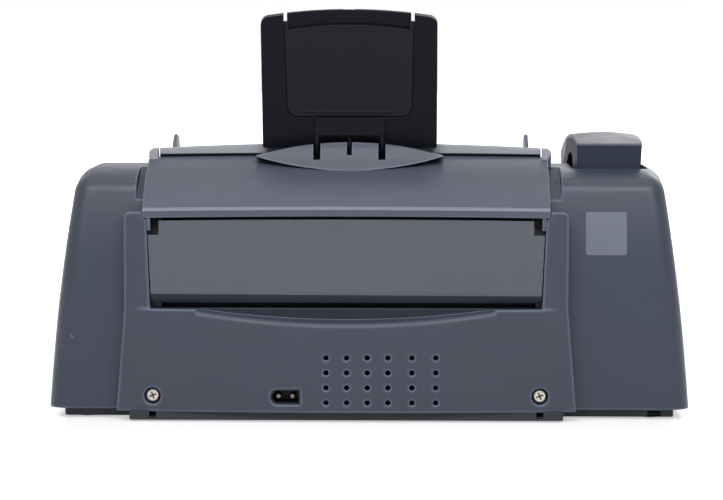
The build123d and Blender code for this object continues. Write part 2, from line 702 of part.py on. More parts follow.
def rack_points(y_pitch, toward, x_from, x_to):
    """Rack outline in the bed's plane: teeth point towards the pinion, with a gap centred on x = 0."""
    pitch = pi * gear_module
    back = y_pitch - toward * 4.5
    points = [(x_to, back), (x_from, back)]
    first = int(x_from / pitch) + 1
    last = int(x_to / pitch) - 1
    for n in range(first, last):
        middle = (n + 0.5) * pitch
        for dx, dy in ((-0.32, -1.25), (-0.13, 0.95), (0.13, 0.95), (0.32, -1.25)):
            points.append((middle + dx * pitch, y_pitch + toward * dy * gear_module))
    head = [(x_from, y_pitch - toward * 1.25 * gear_module)]
    tail = [(x_to, y_pitch - toward * 1.25 * gear_module)]
    return points[:2] + head + points[2:] + tail


def guide(side):
    """Document guide with its slide neck and the rack that meets the pinion."""
    def span(a, b, y0, y1, z0, z1):
        return block(min(side * a, side * b), max(side * a, side * b), y0, y1, z0, z1)
    fin = yz_prism([(-20, 0.3), (18, 0.3), (18, 8), (12, 15.5), (4, 17.5), (-8, 14), (-20, 5)],
                   min(side * (guide_half - 0.6), side * (guide_half + 2)),
                   max(side * (guide_half - 0.6), side * (guide_half + 2)))
    fin = fin.fillet(0.9, [e for e in fin.edges() if e.center().Z > 8 and abs(e.tangent_at(0.5).X) < 0.5])
    part = fin + span(guide_half - 8, guide_half + 2, -20, 18, 0.3, 1.8)
    part += span(guide_half - 5, guide_half + 1.6, -1.7, 1.7, rack_high - 1, 0.5)
    part += span(guide_half - 9, guide_half + 1.6, -side * 10.5, side * 10.5, rack_low, rack_high)
    reach = -6.0
    rack = face_of(at_z(rack_low), [(side * a, b) for a, b in
                                   rack_points(-side * pitch_r, side, reach, guide_half - 6)])
    part += prism(rack, (0, 0, rack_high - rack_low))
    return Location(bed) * part


def guide_pinion():
    """Pinion that makes the two guides close together."""
    gear = face_of(at_z(rack_low), gear_points(pinion_teeth, gear_module, 0.12))
    solid = prism(gear, (0, 0, rack_high - rack_low)).rotate(Axis.Z, 90)
    return Location(bed) * (solid - Solid.make_cylinder(2.0 + pin_fit, 20, Plane((0, 0, -12))))


def feeder_lid():
    """Cover in front of the document slot, hinged at its front edge."""
    half = opening_half - 0.6
    front = panel_rear_y + 0.5
    lid = yz_prism([
        (front, 147.2), (front, 149.2), (front + 2.2, 151), (2, 155.2, 24, 154.6), (26, 152.5), (24, 147),
        (21.5, 145.5), (20, 151.8), (2, 152.3, lid_axis_y + 0.5, 148.3), (lid_axis_y, 147.2)],
        feeder_x - half, feeder_x + half)
    lid += block(feeder_x - half + 3, feeder_x + half - 3, front, front + 1.6, lid_axis_z - 1.3, 148.5)
    def arm(side):
        a, b = feeder_x + side * (half - 3.0), feeder_x + side * (half - 5.6)
        pin_end = feeder_x + side * (half - 0.2)
        web = yz_prism([(lid_axis_y - 2.4, lid_axis_z), (lid_axis_y, lid_axis_z - 2.4, lid_axis_y + 2.4, lid_axis_z),
                        (lid_axis_y + 6, 149.8), (lid_axis_y - 2.4, 149)], min(a, b), max(a, b))
        return web + rod_along_x(min(a, pin_end), max(a, pin_end), lid_axis_y, lid_axis_z, pin_r)
    return lid + both_sides(arm)


def adf_roller():
    """Separation roller on a shaft across the feeder."""
    shaft = rod_along_x(feeder_x - opening_half + 0.8, feeder_x + opening_half - 0.8, adf_y, adf_z, adf_shaft_r)
    for x, half in ((0, 17), (-62, 7), (62, 7)):
        shaft += rod_along_x(feeder_x + x - half, feeder_x + x + half, adf_y, adf_z, adf_r)
    return shaft


def separation_pad():
    """Pad block that hangs from the lid over the middle of the separation roller."""
    low = adf_z + adf_r + clear
    holder = block(feeder_x - lid_pad_half, feeder_x + lid_pad_half, adf_y - 7, adf_y + 3.6, low, 151.9)
    return holder & yz_prism([
        (adf_y - 8, low), (adf_y + 4, low), (20, 151.8), (2, 152.3, lid_axis_y + 0.5, 148.3),
        (lid_axis_y, 147.2)], feeder_x - 20, feeder_x + 20)


def scan_bar():
    """Contact image sensor bar across the feeder, on the chute's floor."""
    half = opening_half - 7
    bar = block(feeder_x - half, feeder_x + half, -12, 3, chute_z, 114)
    bar = rounded(bar, 1.5, Axis.X)
    glass = block(feeder_x - half + 2, feeder_x + half - 2, -9, 0, 114, 114.8)
    return [bar, glass]


# ================================================================ document tray
tray = Plane(origin=(feeder_x, tray_root_y, tray_root_z), x_dir=(1, 0, 0),
             z_dir=(0, -cos(radians(tray_lean)), sin(radians(tray_lean))))
flap_t = 5.35


def tray_face(z, half, low_half, low, top, sag, corner, low_round):
    """Tray outline in its own plane: rounded corners and an arched top."""
    face = face_of(at_z(z), [(-low_half, low), (low_half, low), (half, top - sag), (0, top, -half, top - sag)])
    face = face.fillet_2d(corner, [v for v in face.vertices() if v.Y > top - sag - 1])
    return face.fillet_2d(low_round, [v for v in face.vertices() if v.Y < low + 1])


def document_tray():
    """Tray panel with a raised border, the hinge notches of the flap, three ribs and a cross web."""
    back = prism(tray_face(frame_back, tray_half, tray_half, panel_low, tray_top, 4.6, 5.2, 1.5),
                 (0, 0, panel_front - frame_back))
    half = flap_half + 0.5
    recess = prism(tray_face(frame_back - 1, half, half - flap_taper, 23.5, tray_top + 8, 3.0, 2.0, 7.0),
                   (0, 0, panel_back - frame_back + 1))
    panel = back - recess
    for side in (-1, 1):
        a, b = side * (flap_half - 1.6), side * (flap_half + 0.5)
        panel -= block(min(a, b), max(a, b), flap_axis - 1, tray_top + 5, frame_back - 1, panel_front + 1)
    panel -= rod_along_x(-flap_half - 4, flap_half + 4, flap_axis, flap_t, 0.9 + pin_fit)
    panel -= Solid.make_cylinder(5.0, 3, Plane((0, tray_top + 3.2, panel_front - 1.2)))
    for x, foot, top in ((-rib_half, rib_foot_out, 24), (0, rib_foot_mid, 14), (rib_half, rib_foot_out, 24)):
        rib = yz_prism([(foot, -rib_depth), (foot, frame_back), (panel_low, frame_back), (top, frame_back), (top, 1.2),
                        (top - 9, -2.5), (8, -3.6)], x - rib_thick / 2, x + rib_thick / 2)
        panel += rib
    web = yz_prism([(13.5, -2.6), (23.5, 1.2), (23.5, 2.8), (13.5, -0.9)], -rib_half, rib_half)
    return Location(tray) * (panel + web)


def tray_extension():
    """Flap that lies in the tray's back and swings up about two stub pins."""
    thick = 2.2
    face = tray_face(flap_t - thick / 2, flap_half, flap_half - flap_taper, 24.0, flap_axis + 6, 4.0, 1.0, 6.5)
    flap = prism(face, (0, 0, thick)) & block(-60, 60, 20, flap_axis, 0, 20)
    arch = face_of(at_z(flap_t - 2), [
        (-flap_arch, flap_axis + 3), (flap_arch, flap_axis + 3), (flap_arch, flap_axis - 4.4),
        (0, flap_axis - 1.2, -flap_arch, flap_axis - 4.4)])
    flap -= prism(arch, (0, 0, 4))
    def knuckle(side):
        a, b = side * flap_arch, side * (flap_half - 0.1)
        barrel = rod_along_x(min(a, b), max(a, b), flap_axis, flap_t, thick / 2)
        end = side * (flap_half + 3.6)
        return barrel + rod_along_x(min(a, end), max(a, end), flap_axis, flap_t, 0.9)
    rim = block(-30, 30, 26.5, 27.5, flap_t - thick / 2 - 0.5, flap_t)
    return Location(tray) * (flap + both_sides(knuckle) + rim)


# ================================================================ control panel and keys
panel_mid_y = -52.0
panel_rise = 2.5
panel_rear_y = -20.5
panel_low_z = 107.0
door_low_edge_z = 50.5
door_high_edge_z = 98.0
panel = Plane(origin=(feeder_x, panel_mid_y, deck_height(panel_mid_y)), x_dir=(1, 0, 0),
              z_dir=(0, -sin(radians(slope_angle)), cos(radians(slope_angle))))
key_travel = 1.2
key_proud = 2.0
flange_thick = 1.0
digit_size = (11.0, 7.6)
digit_pitch = (15.0, 12.2)
digit_x = 30.0
digit_names = ("1", "2", "3", "4", "5", "6", "7", "8", "9", "star", "0", "hash")
round_r = 8.0
action_x = opening_half - 25
action_keys = {"start_key": 10.0, "cancel_key": -14.0}
window = (35.0 - opening_half, 14.0, 64.0, 22.0)   # middle x, middle y, width, height
mat_columns, mat_rows = 5, 2
mat_x, mat_y = window[0], -15.0
mat_pitch = (13.5, 12.0)
mat_size = (10.0, 6.0)


def digit_place(index):
    """Middle of a digit key in the panel's plane."""
    column, row = index % 3, index // 3
    return digit_x + (column - 1) * digit_pitch[0], (1.5 - row) * digit_pitch[1]


def mat_places():
    """Middles of the function keys in the panel's plane."""
    return [(mat_x + (c - (mat_columns - 1) / 2) * mat_pitch[0], mat_y + (r - (mat_rows - 1) / 2) * mat_pitch[1])
            for c in range(mat_columns) for r in range(mat_rows)]


def pad(x, y, size, z0, z1, corner):
    """Rounded rectangular pad in a plane's own axes."""
    solid = block(x - size[0] / 2, x + size[0] / 2, y - size[1] / 2, y + size[1] / 2, z0, z1)
    return rounded(solid, corner, Axis.Z)


def control_panel():
    """Front moulding over the slope and the nose, pierced for the keys and the display."""
    half = cover_half
    skin = yz_prism(body_profile(panel_rise, base_z), feeder_x - half, feeder_x + half)
    skin -= yz_prism(body_profile(0, base_z - 1), feeder_x - half - 1, feeder_x + half + 1)
    skin &= block(feeder_x - half, feeder_x + half, front_y - 10, panel_rear_y, panel_low_z, deck_z + 10)
    x0, x1 = feeder_x - opening_half + 0.6, feeder_x + opening_half - 0.6
    skin += (under_deck(-0.1, wall, x0, x1, front_y - 5, panel_rear_y)
             & block(x0, x1, front_y - 5, panel_rear_y, panel_low_z, deck_z + 10))
    place = Location(panel)
    cuts = []
    for i in range(len(digit_names)):
        x, y = digit_place(i)
        size = (digit_size[0] + 2 * clear, digit_size[1] + 2 * clear)
        cuts.append(pad(x, y, size, -wall - 1, panel_rise + 1, 2.5))
    for x, y in mat_places():
        size = (mat_size[0] + 2 * clear, mat_size[1] + 2 * clear)
        cuts.append(pad(x, y, size, -wall - 1, panel_rise + 1, 1.8))
    for y in action_keys.values():
        cuts.append(Solid.make_cylinder(round_r + clear, 12, Plane((action_x, y, -wall - 1))))
    x, y, w, h = window
    cuts.append(pad(x, y, (w - 6, h - 6), -wall - 1, panel_rise + 1, 1.0))
    cuts.append(pad(x, y, (w + 0.1, h + 0.1), panel_rise - 1.2, panel_rise + 1, 2.5))
    for cut in cuts:
        skin -= place * cut
    for x in (5 - opening_half, -46, 2, 60, opening_half - 5):
        for y in (-28.6, 28.2):
            skin += place * Solid.make_cylinder(2.5, board_top_gap, Plane((x, y, -wall - board_top_gap)))
    return skin


board_top_gap = 5.0
board_thick = 1.6


def keypad_board():
    """Key board with its display module, carried on the panel's posts."""
    top = -wall - board_top_gap
    board = block(2 - opening_half, opening_half - 2, -30.5, 30.5, top - board_thick, top)
    x, y, w, h = window
    display = block(x - w / 2 + 1, x + w / 2 - 1, y - h / 2 + 1, y + h / 2 - 1, top, -wall)
    return [Location(panel) * s for s in (board, display)]


def lcd_window():
    """Clear window set into the panel's rebate."""
    x, y, w, h = window
    return Location(panel) * pad(x, y, (w, h), panel_rise - 1.2, panel_rise + 0.1, 2.4)


def digit_key(index):
    """One digit key: cap, flange under the panel and stem above the board."""
    x, y = digit_place(index)
    cap = pad(x, y, digit_size, -wall - clear, panel_rise + key_proud, 2.2)
    top = [e for e in cap.edges() if e.center().Z > panel_rise + key_proud - 0.1]
    cap = cap.fillet(0.8, top)
    return Location(panel) * (cap + key_foot(x, y, (digit_size[0] + 2.4, digit_size[1] + 2.4)))


def key_foot(x, y, size):
    """Flange that stops a key under the panel, and its stem."""
    low = -wall - clear - flange_thick
    foot = pad(x, y, size, low, -wall - clear, 1.5)
    stem_low = -wall - board_top_gap + key_travel + 0.2
    return foot + Solid.make_cylinder(1.8, low - stem_low + 0.01, Plane((x, y, stem_low)))


def action_key(y):
    """Round key for starting or stopping a fax."""
    cap = Solid.make_cylinder(round_r, panel_rise + key_proud + wall + clear, Plane((action_x, y, -wall - clear)))
    cap = cap.fillet(1.0, [cap.edges().sort_by(Axis.Z)[-1]])
    return Location(panel) * (cap + key_foot(action_x, y, (2 * round_r + 2.4, 2 * round_r + 2.4)))


def function_key_mat():
    """One rubber mat whose keys stand through the panel."""
    low = -wall - 1.6
    w, h = mat_pitch[0] * mat_columns, mat_pitch[1] * mat_rows
    mat = pad(mat_x, mat_y, (w - 3, h - 3), low, -wall, 2.0)
    mat += pad(mat_x, mat_y, (w - 8, h - 6), -wall - board_top_gap, low, 2.0)
    for x, y in mat_places():
        mat += pad(x, y, mat_size, low, panel_rise + 1.4, 1.6)
    return Location(panel) * mat


# ================================================================ handset
handset_edge_z = 167.4  # upper edge of the handset's flat rear face
handset_crown = 1.6
grip_low_z = 156.0      # underside of the handset's grip
cap_drop = 1.9          # the upper shell's edge below the handset's shoulder
arch_y, arch_z, arch_r = circle_through((handset_rear_y, 168.1), (35.0, 170.4), (handset_front_y + 11, 153.7))


def handset_blank():
    """Handset body: crowned section turned along its arch, trimmed to the side outline."""
    half, low_half = handset_half, handset_half - 1.0
    crown = handset_crown
    section = face_of(at_y(arch_y), [
        (handset_x - low_half, arch_z + arch_r - 20), (handset_x - low_half, arch_z + arch_r - 60),
        (handset_x + low_half, arch_z + arch_r - 60), (handset_x + low_half, arch_z + arch_r - 20),
        (handset_x + half, arch_z + arch_r), (handset_x, arch_z + arch_r + crown, handset_x - half, arch_z + arch_r)])
    axis = Axis((0, arch_y, arch_z), (1, 0, 0))
    sweep = Solid.revolve(section, 60, axis).rotate(axis, -20)
    floor = cradle_depth - clear
    outline = [
        (handset_rear_y, deck_z - floor), (handset_rear_y, handset_edge_z),
        (handset_rear_y - 19, handset_edge_z + 3.3, handset_rear_y - 42, handset_edge_z + 5.2),
        (handset_rear_y - 60, deck_z + 30), (handset_front_y, deck_z + 30),
        (handset_front_y, deck_height(handset_front_y) + 9),
        (handset_front_y + 6, deck_height(handset_front_y + 6) + 2.5),
        (-83, deck_height(-83) + 1.2), (-82.5, deck_height(-82.5) - floor), (-47, deck_height(-47) - floor),
        (-40, deck_height(-40) + 10), (-10, grip_low_z, 24, deck_z + 4.5), (30, deck_z - floor)]
    body = sweep & yz_prism(outline, handset_x - 30, handset_x + 30)
    rear_side = [e for e in body.edges() if e.center().Y > handset_rear_y - 0.5 and abs(e.tangent_at(0.5).Z) > 0.9]
    return body.fillet(1.2, rear_side)


def shoulder_z_at(y):
    """Height of the parting line just under the handset's shoulder."""
    return arch_z + sqrt((arch_r - cap_drop) ** 2 - (y - arch_y) ** 2)


def below_parting():
    """Region below the handset's parting line, which dips towards the mouthpiece."""
    rear, front = handset_rear_y + 10, handset_front_y - 13
    return yz_prism([
        (rear, shoulder_z_at(rear)), (30, shoulder_z_at(30), -20, shoulder_z_at(-20)), (front, 131), (front, 100),
        (rear, 100)], handset_x - 30, handset_x + 30)


def handset_shell():
    """Pale upper cap of the handset."""
    body = handset_blank() - below_parting()
    front = [e for e in body.edges() if e.center().Y < handset_front_y + 0.5 and e.center().Z > 138]
    return body.fillet(6.0, front)


def handset_cover():
    """Lower body of the handset, with its rear face and the earpiece's sound holes."""
    body = handset_blank() & below_parting()
    for y in (58, 52, 64):
        for x in (-6, 0, 6):
            body -= Solid.make_cylinder(1.1, 3, Plane((handset_x + x, y, deck_z - cradle_depth - 1.5)))
    return body


def hook_switch():
    """Plunger in the cradle that the earpiece presses down."""
    stem = block(handset_x - 2.9, handset_x + 2.9, 46.3, 57.7, deck_z - 12, deck_z - cradle_depth - 0.1)
    return stem + block(handset_x - 5, handset_x + 5, 44, 60, deck_z - 13.5, deck_z - 11.0)


# ================================================================ front door and paper tray
def front_door():
    """Ink access door under the panel, hinged along its lower edge."""
    half = opening_half - 0.6
    skin = yz_prism(body_profile(0, base_z), feeder_x - half, feeder_x + half)
    skin -= yz_prism(body_profile(-wall, base_z - 1), feeder_x - half - 1, feeder_x + half + 1)
    skin &= block(feeder_x - half, feeder_x + half, front_y - 5, front_y + 12, door_low_edge_z, door_high_edge_z)
    def side_wall(side):
        a, b = feeder_x + side * half, feeder_x + side * (half - 2)
        flange = yz_prism([(front_y + 3.5, door_low_edge_z + 1), (-92.5, door_low_edge_z + 1), (-91, 60),
                           (-95, door_high_edge_z - 2), (front_y + 2, door_high_edge_z - 2)], min(a, b), max(a, b))
        pin_end = feeder_x + side * (opening_half + 4.5)
        return flange + rod_along_x(min(a, pin_end), max(a, pin_end), door_pin_y, door_pin_z, pin_r)
    door = skin + both_sides(side_wall)
    top = door_high_edge_z
    grip = xz_prism([(feeder_x - 32, top + 1), (feeder_x + 32, top + 1), (feeder_x, top - 10, feeder_x - 32, top + 1)],
                    front_y - 5, front_y + 1.0)
    return door - grip


def tray_wall_height(y):
    """Top of the paper tray's side walls in front of their highest point."""
    return 24 + (y + 70) * (24 - 20) / (-70 - (tray_front_y + 16))


def paper_tray():
    """Fixed input tray: floor, side walls, front lip and the slot for the extender."""
    half = opening_half - 4.5
    low, floor = base_z, tray_floor_z
    tray_ = block(feeder_x - half, feeder_x + half, tray_front_y, 40, low, floor)
    outline = [(tray_front_y, low), (40, low), (40, 20), (-70, 24), (tray_front_y + 16, 20), (tray_front_y, 13)]
    for side in (-1, 1):
        a, b = feeder_x + side * half, feeder_x + side * (half - 2.2)
        tray_ += yz_prism(outline, min(a, b), max(a, b))
    tray_ += block(feeder_x - half, feeder_x + half, 37.5, 40, low, 20)
    tray_ = rounded_front(tray_, half)
    tray_ -= block(feeder_x - 50.3, feeder_x + 50.3, tray_front_y - 1, -38, low + 0.8, floor - 0.8)
    tray_ -= block(feeder_x + 51.5, feeder_x + half - 8.5, -94, -90.4, low - 1, floor + 1)
    return tray_


def rounded_front(shape, half):
    """Tray with its front corners rounded in plan."""
    plan = face_of(at_z(0), [(feeder_x - half, 60), (feeder_x - half, tray_front_y + 22),
                             (feeder_x - half + 8, tray_front_y + 6, feeder_x - half + 26, tray_front_y),
                             (feeder_x + half - 26, tray_front_y),
                             (feeder_x + half - 8, tray_front_y + 6, feeder_x + half, tray_front_y + 22),
                             (feeder_x + half, 60)])
    return shape & prism(plan, (0, 0, 80))


def tray_extender():
    """Stop that pulls out of the tray's front edge."""
    low = base_z + 0.8 + 0.15
    return block(feeder_x - 50, feeder_x + 50, tray_front_y + 1.2, -40, low, tray_floor_z - 0.95)


def width_guide():
    """Paper width guide that slides across the tray."""
    x = feeder_x + opening_half - 12
    low = tray_floor_z + clear
    fin = block(x - 1.2, x + 1.2, -112, -62, low, 26)
    fin = fin.fillet(5.0, fin.edges().filter_by(Axis.X).group_by(Axis.Z)[-1])
    foot = block(x - 8, x + 1.2, -112, -62, low, low + 1.7)
    neck = block(x - 5, x - 2, -93.7, -90.7, tray_floor_z - 2.4, low + 0.1)
    return fin + foot + neck


# ================================================================ print mechanism
def mech_frame():
    """Sheet metal frame: two side plates, a rear rail and the bearing holes."""
    def side_plate(side):
        a, b = feeder_x + side * mech_half, feeder_x + side * (mech_half + plate)
        return yz_prism([(-84, 28), (-84, 62), (-40, 99), (100, 99), (108, 60), (108, 30), (44, pan_floor),
                         (36, pan_floor), (36, 28)], min(a, b), max(a, b))
    frame = both_sides(side_plate)
    frame += block(feeder_x - mech_half, feeder_x + mech_half, feed_y + feed_r + 4, feed_y + feed_r + 4 + plate,
                   supply_top + 2, 72)
    rail = block(feeder_x - mech_half, feeder_x + mech_half, belt_y + 8, belt_y + 8 + plate, 72, 99)
    rail += block(feeder_x - mech_half, feeder_x + mech_half, belt_y - 2, belt_y + 8, 72, 73.6)
    frame += rail
    x0, x1 = feeder_x - mech_half - 5, feeder_x + mech_half + 5
    frame -= rod_along_x(x0, x1, rod_y, rod_z, rod_r + 0.02)
    frame -= rod_along_x(x0, x1, feed_y, feed_z, feed_shaft_r + pin_fit)
    frame -= rod_along_x(x0, x1, exit_y, exit_z, exit_shaft_r + pin_fit)
    frame -= rod_along_x(x0, feeder_x, motor_y, motor_z, motor_shaft_r + 0.1)
    for side in (-1, 1):
        x = feeder_x + side * pulley_half
        frame -= rod((x, belt_y, belt_z), (x, belt_y + 15, belt_z), 2.2 if side > 0 else 1.5)
    return frame


def carriage_rod():
    """Round steel rod that the carriage slides on."""
    return rod_along_x(feeder_x - mech_half - plate, feeder_x + mech_half + plate, rod_y, rod_z, rod_r)


carriage_x = 66.0
carriage_half = 30.0


def carriage():
    """Cartridge carriage: bearing tube, cradle for two cartridges and the belt clamp."""
    x0, x1 = feeder_x + carriage_x - carriage_half, feeder_x + carriage_x + carriage_half
    tub = block(x0, x1, -52, 2.5, 49, 84)
    tub -= block(x0 + 2, x1 - 2, -50, 0.5, 52, 90)
    tub += block((x0 + x1) / 2 - 1, (x0 + x1) / 2 + 1, -50, 0.5, 52, 84)
    tub += rod_along_x(x0, x1, rod_y, rod_z, 7.5)
    tub += block(x0, x1, 0.5, rod_y, 74, 84)
    tub -= rod_along_x(x0 - 1, x1 + 1, rod_y, rod_z, rod_r + 0.06)
    mid = (x0 + x1) / 2
    low_run = belt_z - pulley_r
    clamp = block(mid - 12, mid + 12, rod_y + 4, belt_y + 3.5, low_run - 3.6, low_run - 1.3)
    clamp += block(mid - 12, mid + 12, rod_y + 5, belt_y - 3.6, low_run - 3.6, low_run + 3.4)
    return tub + clamp


def ink_cartridges():
    """Two cartridges standing in the carriage."""
    x0, x1 = feeder_x + carriage_x - carriage_half, feeder_x + carriage_x + carriage_half
    mid = (x0 + x1) / 2
    made = []
    for a, b in ((x0 + 2.2, mid - 1.2), (mid + 1.2, x1 - 2.2)):
        body = block(a, b, -49.8, 0.2, 52, 88)
        body = body.fillet(3.0, body.edges().filter_by(Axis.X).group_by(Axis.Z)[-1])
        body += block(a + 3, b - 3, -54, -49.8, 84.2, 86.4)
        made.append(body)
    return made


def carriage_belt():
    """Closed belt round the two pulleys."""
    def loop(radius, y0, y1):
        return xz_prism([
            (feeder_x - pulley_half, belt_z - radius), (feeder_x + pulley_half, belt_z - radius),
            (feeder_x + pulley_half + radius, belt_z, feeder_x + pulley_half, belt_z + radius),
            (feeder_x - pulley_half, belt_z + radius),
            (feeder_x - pulley_half - radius, belt_z, feeder_x - pulley_half, belt_z - radius)], y0, y1)
    return loop(pulley_r + 1.2, belt_y - 3, belt_y + 3) - loop(pulley_r + 0.15, belt_y - 4, belt_y + 4)


def drive_pulley():
    """Pulley on the carriage motor's shaft."""
    x = feeder_x + pulley_half
    wheel = rod((x, belt_y - 3.4, belt_z), (x, belt_y + 3.4, belt_z), pulley_r)
    wheel += rod((x, belt_y + 3.4, belt_z), (x, belt_y + 5.0, belt_z), pulley_r + 2)
    wheel += rod((x, belt_y - 5.0, belt_z), (x, belt_y - 3.4, belt_z), pulley_r + 2)
    return wheel - rod((x, belt_y - 6, belt_z), (x, belt_y + 6, belt_z), 1.5 + 0.02)


def idler_pulley():
    """Pulley at the belt's far end, with a pin through the rail."""
    x = feeder_x - pulley_half
    wheel = rod((x, belt_y - 3.4, belt_z), (x, belt_y + 3.4, belt_z), pulley_r)
    wheel += rod((x, belt_y + 3.4, belt_z), (x, belt_y + 5.0, belt_z), pulley_r + 2)
    wheel += rod((x, belt_y + 5, belt_z), (x, belt_y + 11, belt_z), 1.5 - pin_fit)
    return wheel


def carriage_motor():
    """Motor behind the rail, with its shaft through the pulley."""
    x = feeder_x + pulley_half
    back = belt_y + 8 + plate
    motor = rod((x, back, belt_z), (x, back + 26, belt_z), 12.0) & block(x - 9.5, x + 13, back - 1, back + 30, 60, 99)
    motor += rod((x, back, belt_z), (x, back + 1.0, belt_z), 3.0)
    return motor + rod((x, belt_y - 5.5, belt_z), (x, back + 1, belt_z), 1.5)


def feed_roller():
    """Paper feed roller: three rubber tyres on a shaft with its drive gear and belt wheel."""
    end, gear_end = feeder_x - gear_in - gear_width - 1, feeder_x - gear_in
    shaft = rod_along_x(end, feeder_x + mech_half + 4, feed_y, feed_z, feed_shaft_r)
    for x in (-74, 0, 74):
        shaft += rod_along_x(feeder_x + x - 14, feeder_x + x + 14, feed_y, feed_z, feed_r)
    gear = gear_along_x(gear_end - gear_width, gear_end, feed_y, feed_z, feed_teeth, gear_module, 0, 0.12,
                        feed_shaft_r - 0.1)
    wheel = rod_along_x(feeder_x - wheel_in - wheel_width, feeder_x - wheel_in, feed_y, feed_z, exit_r)
    return shaft + gear + wheel


def motor_pinion():
    """Pinion of the feed motor, in mesh with the roller's gear."""
    gear_end = feeder_x - gear_in
    step = 360 / feed_teeth
    contact = motor_angle / step
    offset = (contact - round(contact)) * step * feed_teeth / motor_teeth
    turn = motor_angle + 180 + 180 / motor_teeth + offset
    gear = gear_along_x(gear_end - gear_width, gear_end, motor_y, motor_z, motor_teeth, gear_module, turn, 0.12,
                        motor_shaft_r + 0.02)
    hub = tube_along_x(gear_end - gear_width - 2.5, gear_end - gear_width, motor_y, motor_z, 4.0, motor_shaft_r + 0.02)
    return gear + hub


def feed_motor():
    """Feed motor on the inside of the side plate, shaft through to the pinion."""
    inside = feeder_x - mech_half
    can = rod_along_x(inside, inside + 22, motor_y, motor_z, 12.5)
    shaft = rod_along_x(feeder_x - gear_in - gear_width - 2, inside, motor_y, motor_z, motor_shaft_r)
    return can + shaft


def output_tray():
    """Shelf over the paper tray that catches the printed sheets."""
    half = opening_half - 4.8
    shelf = block(feeder_x - half, feeder_x + half, -108, -71, 28, 30)
    def skirt(side):
        a, b = feeder_x + side * half, feeder_x + side * (half - 2)
        return yz_prism([(-108, 28), (-108, tray_wall_height(-108)), (-71, tray_wall_height(-71)), (-71, 28)],
                        min(a, b), max(a, b))
    lip = yz_prism([(-108, 28), (-108, 32), (-106, 32), (-104, 30)], feeder_x - half, feeder_x + half)
    return shelf + both_sides(skirt) + lip


def exit_roller():
    """Output roller with its belt wheel."""
    end = feeder_x - wheel_in - wheel_width
    shaft = rod_along_x(end, feeder_x + mech_half + 4, exit_y, exit_z, exit_shaft_r)
    for x in (-90, -45, 0, 45, 90):
        shaft += rod_along_x(feeder_x + x - 6, feeder_x + x + 6, exit_y, exit_z, exit_r)
    return shaft + rod_along_x(end, feeder_x - wheel_in, exit_y, exit_z, exit_r)


def transport_belt():
    """Belt from the feed roller's wheel to the output roller's wheel."""
    dy, dz = feed_y - exit_y, feed_z - exit_z
    length = hypot(dy, dz)
    ny, nz = -dz / length, dy / length
    def loop(r, x0, x1):
        a, b = (exit_y + ny * r, exit_z + nz * r), (feed_y + ny * r, feed_z + nz * r)
        c, d = (feed_y - ny * r, feed_z - nz * r), (exit_y - ny * r, exit_z - nz * r)
        end_b = (feed_y + dy / length * r, feed_z + dz / length * r)
        end_a = (exit_y - dy / length * r, exit_z - dz / length * r)
        return yz_prism([a, b, end_b + c, d, end_a + a], x0, x1)
    x0, x1 = feeder_x - wheel_in - wheel_width + 0.3, feeder_x - wheel_in - 0.3
    return loop(exit_r + 1.3, x0, x1) - loop(exit_r + 0.15, x0 - 1, x1 + 1)


def platen():
    """Ribbed plate that the sheet crosses under the carriage."""
    body = block(feeder_x - mech_half + 0.2, feeder_x + bay_side, -50, 52, 38, 41)
    ribs = 14
    for n in range(ribs):
        x = feeder_x - mech_half + 9 + n * (mech_half + bay_side - 17) / (ribs - 1)
        body += block(x - 0.8, x + 0.8, -48, 50, 41, 43)
    for side_x in (feeder_x - mech_half + 0.2, feeder_x + bay_side - 3):
        body += block(side_x, side_x + 3, 42, 48, pan_floor, 38)
        body += block(side_x, side_x + 3, -20, -14, 24.5, 38)
    return body


def service_station():
    """Capping and wiping sled where the carriage parks."""
    x0, x1 = feeder_x + bay_side + 0.5, feeder_x + mech_half - 0.3
    body = block(x0, x1, -44, 44, 24.5, 40)
    body = rounded(body, 2.0, Axis.Z)
    body += block(x0 + 2, x1 - 2, 41, 43.5, pan_floor, 30)
    for x in (-13, 13):
        mid = (x0 + x1) / 2 + x
        body += block(mid - 8, mid + 8, -34, -6, 40, 46.5)
        body += block(mid - 6, mid + 6, 8, 10, 40, 47.5)
    return body


# ================================================================ electronics
def main_board():
    """Control board in the handset shoulder, with its parts and a small speaker."""
    x = handset_x + 9.5
    board = block(x - 1.6, x, -70, 84, 12, 112)
    parts = [board]
    for y, z, w, h, t in ((-40, 70, 26, 26, 3), (0, 60, 20, 14, 2.5), (30, 80, 14, 14, 2.5), (40, 35, 30, 12, 8),
                          (-45, 30, 18, 10, 9)):
        parts.append(block(x, x + t, y - w / 2, y + w / 2, z - h / 2, z + h / 2))
    parts.append(rod((x, 62, 98), (x + 14, 62, 98), 5.0))
    parts.append(block(x - 4, x - 1.6, -68, 82, pan_floor, 14))
    speaker = rod((x - 1.6, -35, 45), (x - 9, -35, 45), 16.0)
    inner = rim_half - 20
    line_board = block(inner, rim_half - 0.5, 42, 92, 12.4, 14)
    line_board += block(inner + 2, inner + 8, 45, 89, pan_floor, 12.4)
    return parts + [speaker, line_board]


def power_supply():
    """Supply unit behind the vents, in a slotted box that reaches the inlet's pins."""
    x0, x1, y0, y1 = -52, 72, 62, bezel_rear_y - 1.4 - inlet_pin_reach - clear
    box = block(x0, x1, y0, y1, pan_floor, supply_top)
    box -= block(x0 + 1.5, x1 - 1.5, y0 + 1.5, y1 - 1.5, pan_floor + 1.5, supply_top - 1.5)
    for x in range(x0 + 8, x1 - 5, 10):
        box -= block(x - 2, x + 2, y1 - 3, y1 + 1, 12, 33)
    transformer = block(-10, 24, y0 + 6, y1 - 8, pan_floor + 1.5, 30)
    filter_coil = block(36, 60, y0 + 8, y1 - 12, pan_floor + 1.5, 26)
    return [box, transformer, filter_coil]


